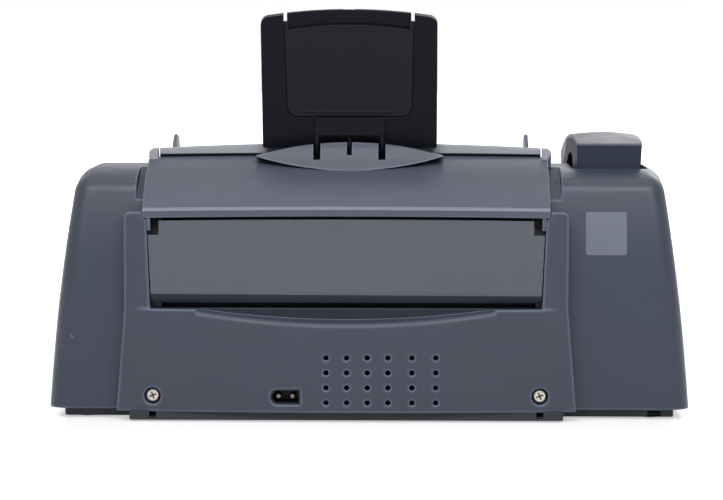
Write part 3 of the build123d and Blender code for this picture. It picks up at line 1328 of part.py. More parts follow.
def side_jacks():
    """Two line sockets, a data socket and the handset socket, flush in the side walls."""
    made = []
    x_face = side_half(20) - 0.6
    for y in line_socket_ys:
        jack = block(x_face - 16, x_face, y - 5.8, y + 5.8, 14, 25)
        jack -= block(x_face - 12, x_face + 1, y - 4.8, y + 4.8, 15.5, 22)
        made.append(jack)
    y = data_socket_y
    data = block(x_face - 16, x_face, y - 6, y + 6, 14, 25)
    data -= block(x_face - 12, x_face + 1, y - 4.2, y + 4.2, 15.4, 23.4)
    data += block(x_face - 12.5, x_face - 2, y - 2.5, y + 2.5, 18, 21)
    made.append(data)
    x_left = -(side_half(24) - 0.6)
    y = handset_socket_y
    jack = block(x_left, x_left + 15, y - 5.8, y + 5.8, 18, 29)
    jack -= block(x_left - 1, x_left + 11, y - 4.8, y + 4.8, 19.5, 26)
    jack += block(0.5 - rim_half, x_left + 15, y - 3, y + 3, pan_floor, 18)
    made.append(jack)
    return made


# ================================================================ output
def build():
    """Every node by name."""
    nodes = {
        "base_pan": base_pan(), "rubber_feet": rubber_feet(), "main_casing": main_casing(),
        "rear_bezel": rear_bezel(), "power_inlet": power_inlet(), "casing_screws": casing_screws(),
        "rear_door": rear_door(), "top_cover": top_cover(), "feeder_bed": feeder_bed(),
        "document_tray": document_tray(), "tray_extension": tray_extension(),
        "guide_left": guide(1), "guide_right": guide(-1), "guide_pinion": guide_pinion(),
        "feeder_lid": feeder_lid(), "adf_roller": adf_roller(), "separation_pad": separation_pad(),
        "scan_bar": scan_bar(), "control_panel": control_panel(),
        "lcd_window": lcd_window(), "function_key_mat": function_key_mat(),
        "circuit_boards": main_board() + keypad_board(),
        "handset_shell": handset_shell(), "handset_cover": handset_cover(), "hook_switch": hook_switch(),
        "front_door": front_door(), "paper_tray": paper_tray(), "tray_extender": tray_extender(),
        "width_guide": width_guide(), "mech_frame": mech_frame(), "carriage_rod": carriage_rod(),
        "carriage": carriage(), "ink_cartridges": ink_cartridges(), "carriage_belt": carriage_belt(),
        "drive_pulley": drive_pulley(), "idler_pulley": idler_pulley(),
        "drive_motors": [carriage_motor(), feed_motor()],
        "feed_roller": feed_roller(), "motor_pinion": motor_pinion(),
        "output_tray": output_tray(), "exit_roller": exit_roller(),
        "transport_belt": transport_belt(), "platen": platen(),
        "service_station": service_station(), "power_supply": power_supply(),
        "side_jacks": side_jacks(),
    }
    for index, name in enumerate(digit_names):
        nodes[f"key_{name}"] = digit_key(index)
    for name, y in action_keys.items():
        nodes[name] = action_key(y)
    return nodes


def main():
    """Writes one STEP file per node."""
    os.makedirs("parts", exist_ok=True)
    for name, shape in build().items():
        write(name, *(shape if isinstance(shape, list) else [shape]))


if __name__ == "__main__":
    main()
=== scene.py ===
"""Fax machine seen from behind: finishes, small details, floor, light and camera around the CAD frame."""
import math

import bpy
from mathutils import Matrix, Vector


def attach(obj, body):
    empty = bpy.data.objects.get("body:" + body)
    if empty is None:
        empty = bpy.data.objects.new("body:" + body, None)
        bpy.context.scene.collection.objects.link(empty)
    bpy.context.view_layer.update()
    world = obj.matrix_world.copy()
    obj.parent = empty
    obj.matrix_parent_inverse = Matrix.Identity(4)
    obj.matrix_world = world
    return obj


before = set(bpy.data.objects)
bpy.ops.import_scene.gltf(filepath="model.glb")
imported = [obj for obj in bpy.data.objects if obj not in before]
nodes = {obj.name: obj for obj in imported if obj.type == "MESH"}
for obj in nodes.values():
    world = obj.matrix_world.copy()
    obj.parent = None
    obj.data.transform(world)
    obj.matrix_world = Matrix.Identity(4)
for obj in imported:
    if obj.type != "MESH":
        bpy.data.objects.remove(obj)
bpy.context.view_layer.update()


# ---- places and sizes of the CAD part, in millimetres, with heights over its datum plane

lift = 2.8                     # height of the datum plane above the floor
feeder_x = 12.5                # middle of the document feeder and the control panel
rear_x = feeder_x + 1.2        # middle of the rear cover, the door and the bezel
cover_half = 125.8             # half width of the rear cover
cover_top_y = 72.5             # front edge of the rear cover's top
cover_top_z = 158.0            # height of that edge at its ends
cover_crown = 1.0              # how much higher it is in the middle
strip_half = cover_half - 4.6
strip_rear_y = 70.0            # rear edge of the strip in front of the cover
lip_y, lip_top_z = 122.8, 129.0
scoop_y, scoop_z = 126.0, 61.0      # rear wall of the finger scoop and its lowest point there
scoop_half = 92.0
door_low_z = 71.0
notch_half, notch_y, notch_z = 119.5, 112.0, 118.0      # behind the notches in the door's upper corners
screw_half, screw_z = cover_half - 6.0, 13.4
slot_y = 126.0                 # between the floor of the screws' slots and the top of their heads
inlet_x, inlet_z, pin_half = 51.0, 13.4, 4.3
feed_y, feed_z, feed_shaft_r = 80.0, 62.0, 4.0
adf_y, adf_z, adf_shaft_r = 16.0, 128.6, 3.0
exit_y, exit_z, exit_shaft_r = -62.0, 36.5, 2.5
drive_x = feeder_x - 115       # the feed roller's gear and belt wheel lie beyond this, towards -X
board_x = -142.0               # the side of the upright board that carries its parts
station_top_z = 40.0
cartridge_top_z = 88.0
rail_y = 100.0                 # the printing frame's rear rail lies behind this
deck_z = 152.0
slope_top_y, slope_low_y, slope_low_z = 35.0, -80.0, 127.3      # the deck slopes down between these
panel_mid_y = -52.0
panel_rise, key_proud = 2.5, 2.0        # control panel over the slope, keys over the panel
opening_half = cover_half - 8.8
digit_x, digit_pitch = 30.0, (15.0, 12.2)
action_x = opening_half - 25
window_x = 35.0 - opening_half


# ---- materials

flat_cosine = 0.995            # turn of the rounded normal, as a cosine, where an edge starts to be painted lighter, as rubbing and as a painted highlight
edge_cosine = 0.95             # turn where it is fully painted lighter
rub_and_highlight_factor = 3.6               # how much lighter a fully painted edge is than its piece, rubbing and painted highlight together
drift_scale, speck_scale, smear_scale = 9.0, 900.0, 60.0      # features per metre


class Graph:
    """A material's node tree, with short calls for adding and joining nodes."""

    def __init__(self, name):
        self.material = bpy.data.materials.new(name)
        self.material.use_nodes = True
        self.tree = self.material.node_tree
        self.shader = self.tree.nodes["Principled BSDF"]

    def add(self, kind, **values):
        """A new node with its properties set from values, or its inputs, named with _ for a space."""
        node = self.tree.nodes.new("ShaderNode" + kind)
        for key, value in values.items():
            if hasattr(node, key):
                setattr(node, key, value)
            else:
                node.inputs[key.replace("_", " ")].default_value = value
        return node

    def link(self, source, target):
        self.tree.links.new(source, target)

    def noise(self, scale, detail=2.0, rough=0.5, stretch=(1, 1, 1)):
        """Noise over the piece's own coordinates, in features per metre."""
        place = self.add("TexCoord")
        mapping = self.add("Mapping", Scale=stretch)
        self.link(place.outputs["Object"], mapping.inputs["Vector"])
        noise = self.add("TexNoise", Scale=scale, Detail=detail, Roughness=rough)
        self.link(mapping.outputs["Vector"], noise.inputs["Vector"])
        return noise.outputs["Fac"]

    def spread(self, value, low, high):
        """value, which runs from about 0.3 to 0.7, taken to low and high."""
        return self.ramp(value, 0.3, 0.7, low, high)

    def ramp(self, value, from_low, from_high, low, high):
        """value, which runs from from_low to from_high, taken to low and high and held there."""
        span = self.add("MapRange", From_Min=from_low, From_Max=from_high, To_Min=low, To_Max=high)
        self.link(value, span.inputs["Value"])
        return span.outputs["Result"]

    def bump(self, height, strength, depth):
        """A bump node that raises height, of 0 to 1, by depth metres."""
        bump = self.add("Bump", Strength=strength, Distance=depth)
        self.link(height, bump.inputs["Height"])
        self.link(bump.outputs["Normal"], self.shader.inputs["Normal"])
        return bump

    def tint(self, colour, amount):
        """colour made lighter or darker by amount, another node's output."""
        tint = self.add("VectorMath", operation="SCALE")
        tint.inputs[0].default_value = colour[:3]
        self.link(amount, tint.inputs["Scale"])
        return tint.outputs[0]

    def edge(self, radius):
        """1 on sharp edges and 0 on flat ground, with the rounded normal."""
        bevel = self.add("Bevel", samples=6, Radius=radius)
        ground = self.add("NewGeometry")
        dot = self.add("VectorMath", operation="DOT_PRODUCT")
        self.link(bevel.outputs["Normal"], dot.inputs[0])
        self.link(ground.outputs["Normal"], dot.inputs[1])
        rub_and_highlight = self.ramp(dot.outputs["Value"], flat_cosine, edge_cosine, 0.0, 1.0)
        return rub_and_highlight, bevel.outputs["Normal"]


def shade(colour, factor):
    """colour made lighter or darker by factor, with its alpha."""
    return tuple(min(1.0, c * factor) for c in colour[:3]) + (1.0,)


def srgb(red, green, blue):
    """A colour given as it looks on screen, 0 to 255, as the linear values that the shader takes."""
    def linear(value):
        value /= 255
        return value / 12.92 if value <= 0.04045 else ((value + 0.055) / 1.055) ** 2.4
    return linear(red), linear(green), linear(blue), 1.0


def moulded(name, colour, rough=0.42, grain=1500.0, depth=0.00006, mottle=0.04, wear_and_highlight=0.18, round_edge=0.0006,
            coat=0.0, gloss=0.3):
    """Moulded plastic: spark-eroded grain, slow colour drift, edges rounded and painted lighter, as a little
    rubbing and as a painted highlight.
    """
    g = Graph(name)
    drift = g.spread(g.noise(drift_scale, 3.0), 1 - mottle, 1 + mottle)
    speck = g.spread(g.noise(speck_scale, 1.0), 1 - mottle * 0.6, 1 + mottle * 0.6)
    both = g.add("Math", operation="MULTIPLY")
    g.link(drift, both.inputs[0])
    g.link(speck, both.inputs[1])
    edge, normal = g.edge(round_edge)
    rub_and_highlight = g.add("Math", operation="MULTIPLY")
    rub_and_highlight.inputs[1].default_value = wear_and_highlight
    g.link(edge, rub_and_highlight.inputs[0])
    mix = g.add("Mix", data_type="RGBA")
    mix.inputs["B"].default_value = shade(colour, rub_and_highlight_factor)
    g.link(rub_and_highlight.outputs[0], mix.inputs["Factor"])
    g.link(g.tint(colour, both.outputs[0]), mix.inputs["A"])
    g.link(mix.outputs["Result"], g.shader.inputs["Base Color"])
    g.link(g.spread(g.noise(smear_scale, 3.0), rough - 0.05, rough + 0.06), g.shader.inputs["Roughness"])
    bump = g.bump(g.noise(grain, 2.0, 0.6), 0.5, depth)
    g.link(normal, bump.inputs["Normal"])
    g.shader.inputs["Coat Weight"].default_value = coat
    g.shader.inputs["Specular IOR Level"].default_value = gloss
    return g.material


def brushed(name, colour, rough=0.3, stretch=(1, 30, 30), scale=40.0):
    """Drawn or turned metal, with fine lines along one axis."""
    g = Graph(name)
    line = g.noise(scale, 4.0, 0.6, stretch)
    g.link(g.tint(colour, g.spread(line, 0.86, 1.08)), g.shader.inputs["Base Color"])
    g.link(g.spread(line, rough - 0.07, rough + 0.1), g.shader.inputs["Roughness"])
    g.bump(line, 0.3, 0.00003)
    g.shader.inputs["Metallic"].default_value = 1.0
    return g.material


# The casing, cover and bezel, and the trays more lightly, have their edges painted far lighter than rubbing
# gives: a painted highlight where rounded edges would catch the top light.
casing_grey = moulded("casing_grey", srgb(49, 56, 70), rough=0.38, wear_and_highlight=1.0, round_edge=0.0020, gloss=0.36)
cover_grey = moulded("cover_grey", srgb(72, 76, 89), rough=0.38, wear_and_highlight=0.7, round_edge=0.0012, gloss=0.36)
door_grey = moulded("door_grey", srgb(80, 83, 91), rough=0.42)
bezel_grey = moulded("bezel_grey", srgb(53, 59, 72), rough=0.38, wear_and_highlight=0.8, round_edge=0.0028, gloss=0.36)
navy = moulded("navy_gloss", srgb(14, 16, 24), rough=0.36, depth=0.00002, wear_and_highlight=0.4, gloss=0.08)
flap_navy = moulded("navy_flap", srgb(17, 20, 28), rough=0.32, depth=0.00002, wear_and_highlight=0.4, gloss=0.12)
light_grey = moulded("light_grey", srgb(150, 151, 158), depth=0.00003)
handset_grey = moulded("handset_grey", srgb(52, 57, 72), rough=0.5, depth=0.00003, gloss=0.02)
handset_light = moulded("handset_light", srgb(103, 104, 113), rough=0.46, depth=0.00003, gloss=0.16)
# Black plastic of the machine's black parts, also used as painted shade behind the door's notches and on the
# frame's rear rail.
black_plastic_and_shade = moulded("black_plastic_and_shade", srgb(20, 21, 25), rough=0.45)
dark_strip = moulded("base_black", srgb(42, 44, 51), rough=0.5)
key_plastic = moulded("key_plastic", srgb(176, 178, 184), rough=0.32, depth=0.00002, wear_and_highlight=0.1)
start_green = moulded("start_green", srgb(58, 118, 84), rough=0.3, depth=0.00002, wear_and_highlight=0.15)
cancel_red = moulded("cancel_red", srgb(146, 62, 58), rough=0.3, depth=0.00002, wear_and_highlight=0.15)
mat_rubber = moulded("mat_rubber", srgb(126, 129, 138), rough=0.62, depth=0.00004)
rubber = moulded("rubber_black", srgb(24, 24, 26), rough=0.8, grain=700.0, depth=0.00012)
gear_white = moulded("gear_white", srgb(214, 212, 204), rough=0.36, depth=0.00002, mottle=0.02)
steel = brushed("steel_drawn", srgb(186, 187, 190))
sheet_steel = brushed("sheet_steel", srgb(168, 170, 172), rough=0.36, stretch=(4, 1, 1), scale=300.0)
board_green = moulded("board_green", srgb(34, 74, 52), rough=0.38, depth=0.00002)
glass_black = moulded("lcd_glass", srgb(44, 52, 50), rough=0.08, depth=0.000004, wear_and_highlight=0.0, coat=0.5)
screw_steel = brushed("screw_steel", srgb(190, 182, 176), rough=0.34, stretch=(1, 1, 1), scale=400.0)
pin_nickel = brushed("pin_nickel", srgb(120, 118, 114), rough=0.4, stretch=(1, 1, 1), scale=400.0)
# Dark plastic of the power supply, also used for the painted shadow in the gap above the rear cover.
dark_plastic_and_shade = moulded("psu_dark_and_shade", srgb(16, 17, 20), rough=0.7, gloss=0.05)
# Painted shade: a dark grey for the rear door's lower edge and the finger scoop's rear wall, where shade
# falls.
painted_shade_grey = moulded("painted_shade_grey", srgb(44, 47, 56), rough=0.5, gloss=0.1)
# Painted highlight: a lighter grey for the lip's rounded upper edge, where it would catch the top light.
painted_highlight_grey = moulded("painted_highlight_grey", srgb(112, 115, 127), rough=0.4, wear_and_highlight=0.6, gloss=0.36)
inner_grey = moulded("inner_grey", srgb(70, 72, 78), rough=0.5)
ear_grey = moulded("ear_grey", srgb(150, 152, 162), rough=0.4)
strip_grey = moulded("strip_grey", srgb(142, 144, 152), rough=0.46, gloss=0.16)
label_grey = moulded("label_grey", srgb(98, 103, 117), rough=0.5, grain=500.0, depth=0.00002, wear_and_highlight=0.0)
# Black of the board's chips, also painted into the screws' cross slots as shade.
black_chips_and_slot_shade = moulded("black_chips_and_slot_shade", srgb(26, 27, 30), rough=0.5, depth=0.00002)
print_dark = moulded("print_dark", srgb(40, 43, 52), rough=0.5, depth=0.00001, wear_and_highlight=0.0)
print_light = moulded("print_light", srgb(196, 199, 205), rough=0.5, depth=0.00001, wear_and_highlight=0.0)
lcd_green = moulded("lcd_green", srgb(112, 126, 108), rough=0.25, grain=2400.0, depth=0.000006, wear_and_highlight=0.0)
lamp_green = moulded("lamp_green", srgb(96, 150, 96), rough=0.2, depth=0.00001, wear_and_highlight=0.0)
lamp_amber = moulded("lamp_amber", srgb(176, 124, 50), rough=0.2, depth=0.00001, wear_and_highlight=0.0)

finish = {
    casing_grey: ["main_casing", "control_panel", "guide_left", "guide_right", "hook_switch"],
    cover_grey: ["top_cover"],
    door_grey: ["rear_door", "front_door"],
    bezel_grey: ["rear_bezel"],
    navy: ["document_tray"],
    flap_navy: ["tray_extension"],
    light_grey: ["feeder_lid"],
    strip_grey: ["feeder_bed"],
    handset_grey: ["handset_cover"],
    handset_light: ["handset_shell"],
    black_plastic_and_shade: ["power_inlet", "side_jacks", "paper_tray", "tray_extender", "width_guide", "output_tray",
                    "platen", "service_station", "ink_cartridges", "drive_motors"],
    dark_strip: ["base_pan"],
    key_plastic: [n for n in nodes if n.startswith("key_")],
    start_green: ["start_key"],
    cancel_red: ["cancel_key"],
    mat_rubber: ["function_key_mat"],
    rubber: ["rubber_feet", "adf_roller", "separation_pad", "feed_roller", "exit_roller", "carriage_belt",
             "transport_belt"],
    gear_white: ["guide_pinion", "drive_pulley", "idler_pulley", "motor_pinion"],
    steel: ["carriage_rod"],
    sheet_steel: ["mech_frame"],
    dark_plastic_and_shade: ["power_supply"],
    board_green: ["circuit_boards"],
    glass_black: ["lcd_window"],
    screw_steel: ["casing_screws"],
    inner_grey: ["scan_bar", "carriage"],
}
for material, names in finish.items():
    for name in names:
        mesh = nodes[name].data
        mesh.materials.clear()
        mesh.materials.append(material)


# ---- one CAD node in more than one material

def paint(name, material, test):
    """Gives material to the faces of a node whose middle, in millimetres, passes test(x, y, z)."""
    mesh = nodes[name].data
    mesh.materials.append(material)
    slot = len(mesh.materials) - 1
    for face in mesh.polygons:
        x, y, z = face.center * 1000
        if test(x, y, z - lift):
            face.material_index = slot


def off_axis(y, z, axis_y, axis_z):
    """Distance of (y, z) from an axis along X."""
    return math.hypot(y - axis_y, z - axis_z)


def paint_shaft(name, axis_y, axis_z, shaft_r):
    """Gives steel to the shaft of a roller, which is rubber."""
    paint(name, steel, lambda x, y, z: off_axis(y, z, axis_y, axis_z) < shaft_r + 0.5)


def on_feed_drive(x, y, z):
    """Whether a place is on the feed roller's gear or belt wheel, outside its shaft."""
    return x < drive_x and off_axis(y, z, feed_y, feed_z) > feed_shaft_r + 0.5


def on_inlet_pin(x, y, z):
    """Whether a place is on one of the power inlet's two pins."""
    return abs(abs(x - inlet_x) - pin_half) < 1.3 and abs(z - inlet_z) < 1.3 and y > 113


def on_screw_slot(x, y, z):
    """Whether a place is in the cross slot of a casing screw."""
    return abs(y - slot_y) < 0.6 and math.hypot(abs(x - rear_x) - screw_half, z - screw_z) < 2.7


def on_scoop_wall(x, y, z):
    """Whether a place is on the rear wall of the finger scoop."""
    return abs(y - scoop_y) < 0.3 and scoop_z - 3 < z < scoop_z + 8 and abs(x - rear_x) < scoop_half + 3


def on_lip_edge(x, y, z):
    """Whether a place is on the rounded upper edge of the rear cover's lip."""
    return lip_y - 1.6 < y < lip_y - 0.01 and lip_top_z - 1.6 < z < lip_top_z + 2


paint("top_cover", ear_grey, lambda x, y, z: abs(x - feeder_x) > strip_half + 0.1 and z > cover_top_z)
paint("power_inlet", pin_nickel, on_inlet_pin)
paint_shaft("feed_roller", feed_y, feed_z, feed_shaft_r)
paint_shaft("adf_roller", adf_y, adf_z, adf_shaft_r)
paint_shaft("exit_roller", exit_y, exit_z, exit_shaft_r)
paint("feed_roller", gear_white, on_feed_drive)
paint("circuit_boards", black_chips_and_slot_shade, lambda x, y, z: x < -60 and z < 116 and abs(x - board_x) > 1.7)
paint("service_station", rubber, lambda x, y, z: z > station_top_z + 0.2)
paint("ink_cartridges", inner_grey, lambda x, y, z: z > cartridge_top_z - 1)
paint("drive_motors", sheet_steel, lambda x, y, z: True)
# The frame's rear rail, seen only through gaps in the rear door, is painted black: painted shade in those
# gaps.
paint("mech_frame", black_plastic_and_shade, lambda x, y, z: y > rail_y)
# The rear door's lower edge is painted darker: painted shade at its rounded bottom above the gap.
paint("rear_door", painted_shade_grey, lambda x, y, z: z < door_low_z + 4.9)
# The finger scoop's rear wall is painted darker: painted shade in the recess under the door.
paint("rear_bezel", painted_shade_grey, on_scoop_wall)
# The lip's rounded upper edge is painted lighter: a painted highlight.
paint("top_cover", painted_highlight_grey, on_lip_edge)
# The screws' cross slots are painted black: painted shade in the slots.
paint("casing_screws", black_chips_and_slot_shade, on_screw_slot)


# ---- small pieces

mark_thick = 0.1               # of a printed figure or mark, in millimetres


def keep(mesh, name, material, body, bevel=0.0):
    """Adds a piece made of mesh in material, riding on body, with edges rounded by bevel metres."""
    mesh.materials.append(material)
    piece = bpy.data.objects.new(name, mesh)
    bpy.context.scene.collection.objects.link(piece)
    if bevel:
        round_off = piece.modifiers.new("round", "BEVEL")
        round_off.width = bevel
        round_off.segments = 2
        round_off.limit_method = "ANGLE"
    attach(piece, body)


def frame_at(origin, x_axis, y_axis):
    """Matrix of a place, given in millimetres, with the given X and Y directions."""
    x, y = Vector(x_axis).normalized(), Vector(y_axis).normalized()
    z = x.cross(y)
    place = Matrix((x, y, z)).transposed().to_4x4()
    place.translation = Vector(origin) / 1000
    return place


def plate(name, outline, thick, place, material, body, bevel=0.0):
    """Flat plate from an outline in millimetres, thick along the place's Z."""
    mesh = bpy.data.meshes.new(name)
    count = len(outline)
    points = [Vector((x, y, z)) / 1000 for z in (0.0, thick) for x, y in outline]
    walls = [(n, (n + 1) % count, (n + 1) % count + count, n + count) for n in range(count)]
    mesh.from_pydata([place @ p for p in points], [],
                     [tuple(reversed(range(count))), tuple(range(count, 2 * count))] + walls)
    keep(mesh, name, material, body, bevel)


def rounded_box(width, height, radius, steps=5):
    """Outline of a rounded rectangle, anticlockwise."""
    points = []
    for sx, sy, start in ((1, -1, -90), (1, 1, 0), (-1, 1, 90), (-1, -1, 180)):
        for n in range(steps + 1):
            angle = math.radians(start + 90 * n / steps)
            points.append((sx * (width / 2 - radius) + radius * math.cos(angle),
                           sy * (height / 2 - radius) + radius * math.sin(angle)))
    return points


def printed(name, text, size, place, material, body):
    """A raised figure in Blender's own font, as a mesh, with its type size in millimetres."""
    curve = bpy.data.curves.new(name + "_curve", "FONT")
    curve.body = text
    curve.size = size / 1000
    curve.extrude = mark_thick / 2000
    curve.align_x = "CENTER"
    curve.align_y = "CENTER"
    text_object = bpy.data.objects.new(name + "_curve", curve)
    bpy.context.scene.collection.objects.link(text_object)
    mesh = bpy.data.meshes.new_from_object(text_object)
    bpy.data.objects.remove(text_object)
    mesh.transform(place)
    mesh.materials.clear()
    keep(mesh, name, material, body)


def circle_through(p, q, r):
    """Middle and radius of the circle through three points."""
    ax, ay, bx, by = q[0] - p[0], q[1] - p[1], r[0] - p[0], r[1] - p[1]
    d = 2 * (ax * by - ay * bx)
    ux = (by * (ax * ax + ay * ay) - ay * (bx * bx + by * by)) / d
    uy = (ax * (bx * bx + by * by) - bx * (ax * ax + ay * ay)) / d
    return p[0] + ux, p[1] + uy, math.hypot(ux, uy)


# The arc in Y and Z that the casing's rear face follows.
skin_y, skin_z, skin_r = circle_through((118.0, 48.0), (114.8, 96.0), (104.0, 144.0))


def rear_skin(z):
    """Y of the casing's curved rear face at height z, in millimetres."""
    return skin_y + math.sqrt(skin_r ** 2 - (z - lift - skin_z) ** 2)


def curved_label(name, mid_x, mid_z, width, height, radius, thick, material, body):
    """Plain label with rounded corners that follows the casing's rear face."""
    mesh = bpy.data.meshes.new(name)
    bends = [radius * (1 - math.cos(math.radians(angle))) for angle in (0, 20, 40, 60, 80)]
    rows = bends + [height * n / 12 for n in range(1, 12)] + [height - b for b in reversed(bends)]
    points, faces = [], []
    for row in rows:
        into = max(0.0, radius - row, radius - (height - row))
        half = width / 2 - radius + math.sqrt(max(0.0, radius ** 2 - into ** 2))
        z = mid_z - height / 2 + row
        for x in (mid_x - half, mid_x + half):
            points += [(x, rear_skin(z) + thick, z), (x, rear_skin(z) - 0.2, z)]
    for n in range(len(rows) - 1):
        a, b = 4 * n, 4 * n + 4
        faces += [(a, b, b + 2, a + 2), (a, a + 1, b + 1, b)]
        faces += [(a + 2, b + 2, b + 3, a + 3), (a + 1, a + 3, b + 3, b + 1)]
    end = 4 * len(rows) - 4
    faces += [(0, 2, 3, 1), (end, end + 1, end + 3, end + 2)]
    mesh.from_pydata([Vector(p) / 1000 for p in points], [], faces)
    keep(mesh, name, material, body)


def crowned_strip(name, mid_x, half, y_range, z_range, material, body, steps=40):
    """Thin strip along X whose height follows the rear cover's crown, z_range over the cover's edge."""
    mesh = bpy.data.meshes.new(name)
    (front, rear), (low, high) = y_range, z_range
    points, faces = [], []
    for n in range(steps + 1):
        x = mid_x + half * (2 * n / steps - 1)
        edge_z = cover_top_z + lift + cover_crown * (1 - ((x - rear_x) / cover_half) ** 2)
        for y, over in ((front, low), (rear, low), (rear, high), (front, high)):
            points.append(Vector((x, y, edge_z + over)) / 1000)
    for n in range(steps):
        a, b = 4 * n, 4 * n + 4
        faces += [(a + k, b + k, b + (k + 1) % 4, a + (k + 1) % 4) for k in range(4)]
    end = 4 * steps
    faces += [(0, 1, 2, 3), (end + 3, end + 2, end + 1, end)]
    mesh.from_pydata(points, [], faces)
    keep(mesh, name, material, body)


def notch_shadow_plate(name, side):
    """Dark plate behind the notch in an upper corner of the rear door: painted shadow, standing in for the
    shade inside the casing there.
    """
    place = frame_at((rear_x + side * notch_half, notch_y, notch_z + lift), (1, 0, 0), (0, -0.21, 0.98))
    plate(name, rounded_box(11.0, 15.0, 0.5), 0.3, place, black_plastic_and_shade, "machine")


# Painted shadow behind the notches in the rear door's upper corners.
notch_shadow_plate("notch_shadow_right", -1)
notch_shadow_plate("notch_shadow_left", 1)
# A dark strip at the rear cover's front edge: painted shadow in the gap between the cover and the strip in
# front of it.
crowned_strip("cover_gap_shadow", feeder_x, strip_half - 0.6, y_range=(strip_rear_y + 0.08, cover_top_y - 0.1),
              z_range=(-0.8, 1.8), material=dark_plastic_and_shade, body="machine")

slope_angle = math.atan2(deck_z - slope_low_z, slope_top_y - slope_low_y)
slope_up = (0, math.cos(slope_angle), math.sin(slope_angle))
slope_out = Vector((0, -math.sin(slope_angle), math.cos(slope_angle)))
panel_mid_z = lift + deck_z - (slope_top_y - panel_mid_y) * math.tan(slope_angle)
panel_mid = Vector((feeder_x, panel_mid_y, panel_mid_z))


def on_panel(x, y, height):
    """Place on the control panel, x and y from its middle, height above the slope, in millimetres."""
    place = panel_mid + Vector((x, 0, 0)) + Vector(slope_up) * y + slope_out * height
    return frame_at(place, (1, 0, 0), slope_up)


curved_label("rear_label", mid_x=-147.5, mid_z=113.0 + lift, width=25.6, height=26.6, radius=1.6, thick=0.25,
             material=label_grey, body="machine")

key_top = panel_rise + key_proud + 0.02
digit_names = ("1", "2", "3", "4", "5", "6", "7", "8", "9", "star", "0", "hash")
figures = {"star": "*", "hash": "#"}
figure_size = 6.0
star_drop = 1.2                # a star stands high in a line of type
for index, digit in enumerate(digit_names):
    x = digit_x + (index % 3 - 1) * digit_pitch[0]
    y = (1.5 - index // 3) * digit_pitch[1]
    if digit == "star":
        y -= star_drop
    printed("figure_" + digit, figures.get(digit, digit), figure_size, on_panel(x, y, key_top), print_dark,
            "key_" + digit)
plate("start_mark", [(-2.6, -3.0), (3.4, 0.0), (-2.6, 3.0)], mark_thick, on_panel(action_x, 10.0, key_top),
      print_light, "start_key")
plate("cancel_mark", rounded_box(5.0, 5.0, 0.8), mark_thick, on_panel(action_x, -14.0, key_top),
      print_light, "cancel_key")
plate("lcd_screen", rounded_box(55.0, 12.5, 0.8), 0.12, on_panel(window_x, 14.0, panel_rise + 0.09),
      lcd_green, "machine")
for n, lamp in enumerate((lamp_green, lamp_amber)):
    place = on_panel(-8.0, 18.0 - 8.0 * n, panel_rise - 0.1)
    plate(f"status_light_{n}", rounded_box(4.4, 1.6, 0.7), 0.5, place, lamp, "machine", bevel=0.0002)
plate("panel_line", rounded_box(1.0, 52.0, 0.49), 0.12, on_panel(-36.0, 0.0, panel_rise - 0.02),
      print_light, "machine")


# ---- studio

def seen_directly(tree):
    """1 for rays from the camera, from mirrors and through glass, and 0 for light on the object."""
    path = tree.nodes.new("ShaderNodeLightPath")
    total = path.outputs["Is Camera Ray"]
    for name in ("Is Glossy Ray", "Is Transmission Ray"):
        join = tree.nodes.new("ShaderNodeMath")
        join.operation = "MAXIMUM"
        tree.links.new(total, join.inputs[0])
        tree.links.new(path.outputs[name], join.inputs[1])
        total = join.outputs[0]
    return total


def stage_floor():
    """A pale floor that glows for the camera, less under the machine, and takes the machine's shadow."""
    mesh = bpy.data.meshes.new("floor")
    half = 6.0
    corners = [(-half, -half, 0), (half, -half, 0), (half, half, 0), (-half, half, 0)]
    mesh.from_pydata(corners, [], [(0, 1, 2, 3)])
    floor = bpy.data.objects.new("floor", mesh)
    bpy.context.scene.collection.objects.link(floor)
    g = Graph("floor_pale")
    g.shader.inputs["Base Color"].default_value = (0.8, 0.8, 0.81, 1)
    g.shader.inputs["Roughness"].default_value = 0.14
    g.shader.inputs["Specular IOR Level"].default_value = 0.4
    g.shader.inputs["Emission Color"].default_value = (1, 1, 1, 1)
    seen = seen_directly(g.tree)
    glow = g.add("Math", operation="MULTIPLY")
    place = g.add("TexCoord")
    away = g.add("VectorMath", operation="LENGTH")
    g.link(place.outputs["Object"], away.inputs[0])
    g.link(g.ramp(away.outputs["Value"], 0.3, 1.0, 0.5, 1.0), glow.inputs[1])
    g.link(seen, glow.inputs[0])
    g.link(glow.outputs[0], g.shader.inputs["Emission Strength"])
    mesh.materials.append(g.material)


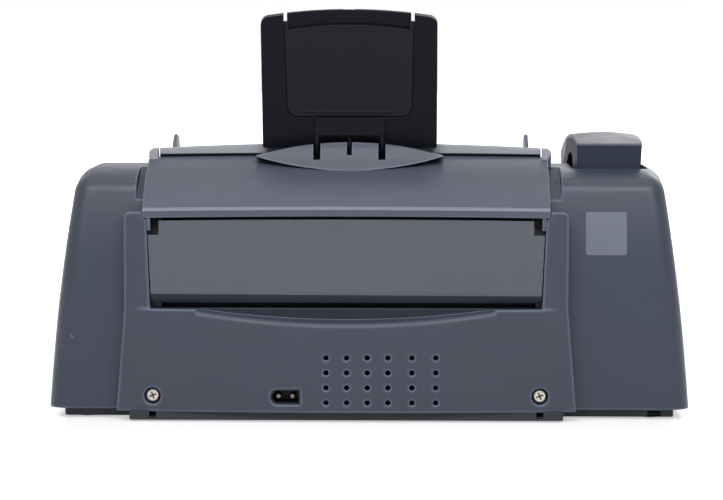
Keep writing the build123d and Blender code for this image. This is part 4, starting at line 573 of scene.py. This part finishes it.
def area_light(name, place, target, size, power):
    """A white softbox of size (width, depth) in metres at place, facing target."""
    data = bpy.data.lights.new(name, "AREA")
    data.shape = "RECTANGLE"
    data.size, data.size_y = size
    data.energy = power
    light = bpy.data.objects.new(name, data)
    bpy.context.scene.collection.objects.link(light)
    light.location = place
    light.rotation_euler = (Vector(target) - Vector(place)).to_track_quat("-Z", "Y").to_euler()


def world_light(strength):
    """Even light, which the camera, mirrors and glass see as white."""
    world = bpy.data.worlds.new("studio")
    bpy.context.scene.world = world
    world.use_nodes = True
    tree = world.node_tree
    background = tree.nodes["Background"]
    background.inputs["Color"].default_value = (1, 1, 1, 1)
    amount = tree.nodes.new("ShaderNodeMapRange")
    amount.inputs["To Min"].default_value = strength
    amount.inputs["To Max"].default_value = 1.0
    tree.links.new(seen_directly(tree), amount.inputs["Value"])
    tree.links.new(amount.outputs["Result"], background.inputs["Strength"])


def camera(place, yaw, pitch, focal):
    """A camera behind the machine, turned yaw degrees towards +X and pitch degrees down."""
    data = bpy.data.cameras.new("camera")
    data.sensor_width = 36.0
    data.lens = focal
    data.clip_start = 0.05
    data.clip_end = 30.0
    eye = bpy.data.objects.new("camera", data)
    bpy.context.scene.collection.objects.link(eye)
    eye.location = place
    turn, down = math.radians(yaw), math.radians(pitch)
    look = Vector((math.sin(turn) * math.cos(down), -math.cos(turn) * math.cos(down), -math.sin(down)))
    eye.rotation_euler = look.to_track_quat("-Z", "Y").to_euler()
    bpy.context.scene.camera = eye


stage_floor()
world_light(strength=0.11)
area_light("key_box", place=(0.0, 1.20, 1.15), target=(0, 0.1, 0.1), size=(2.4, 0.55), power=29)
area_light("top_box", place=(0.0, 0.1, 1.6), target=(0, 0.0, 0.1), size=(2.0, 0.9), power=7)
area_light("front_fill", place=(-0.8, -1.8, 1.2), target=(0, 0, 0.1), size=(1.2, 1.2), power=10)
camera(place=(-0.027, 1.634, 0.250 + lift / 1000), yaw=1.18, pitch=5.53, focal=122.54)
bpy.context.scene.view_settings.view_transform = "Standard"
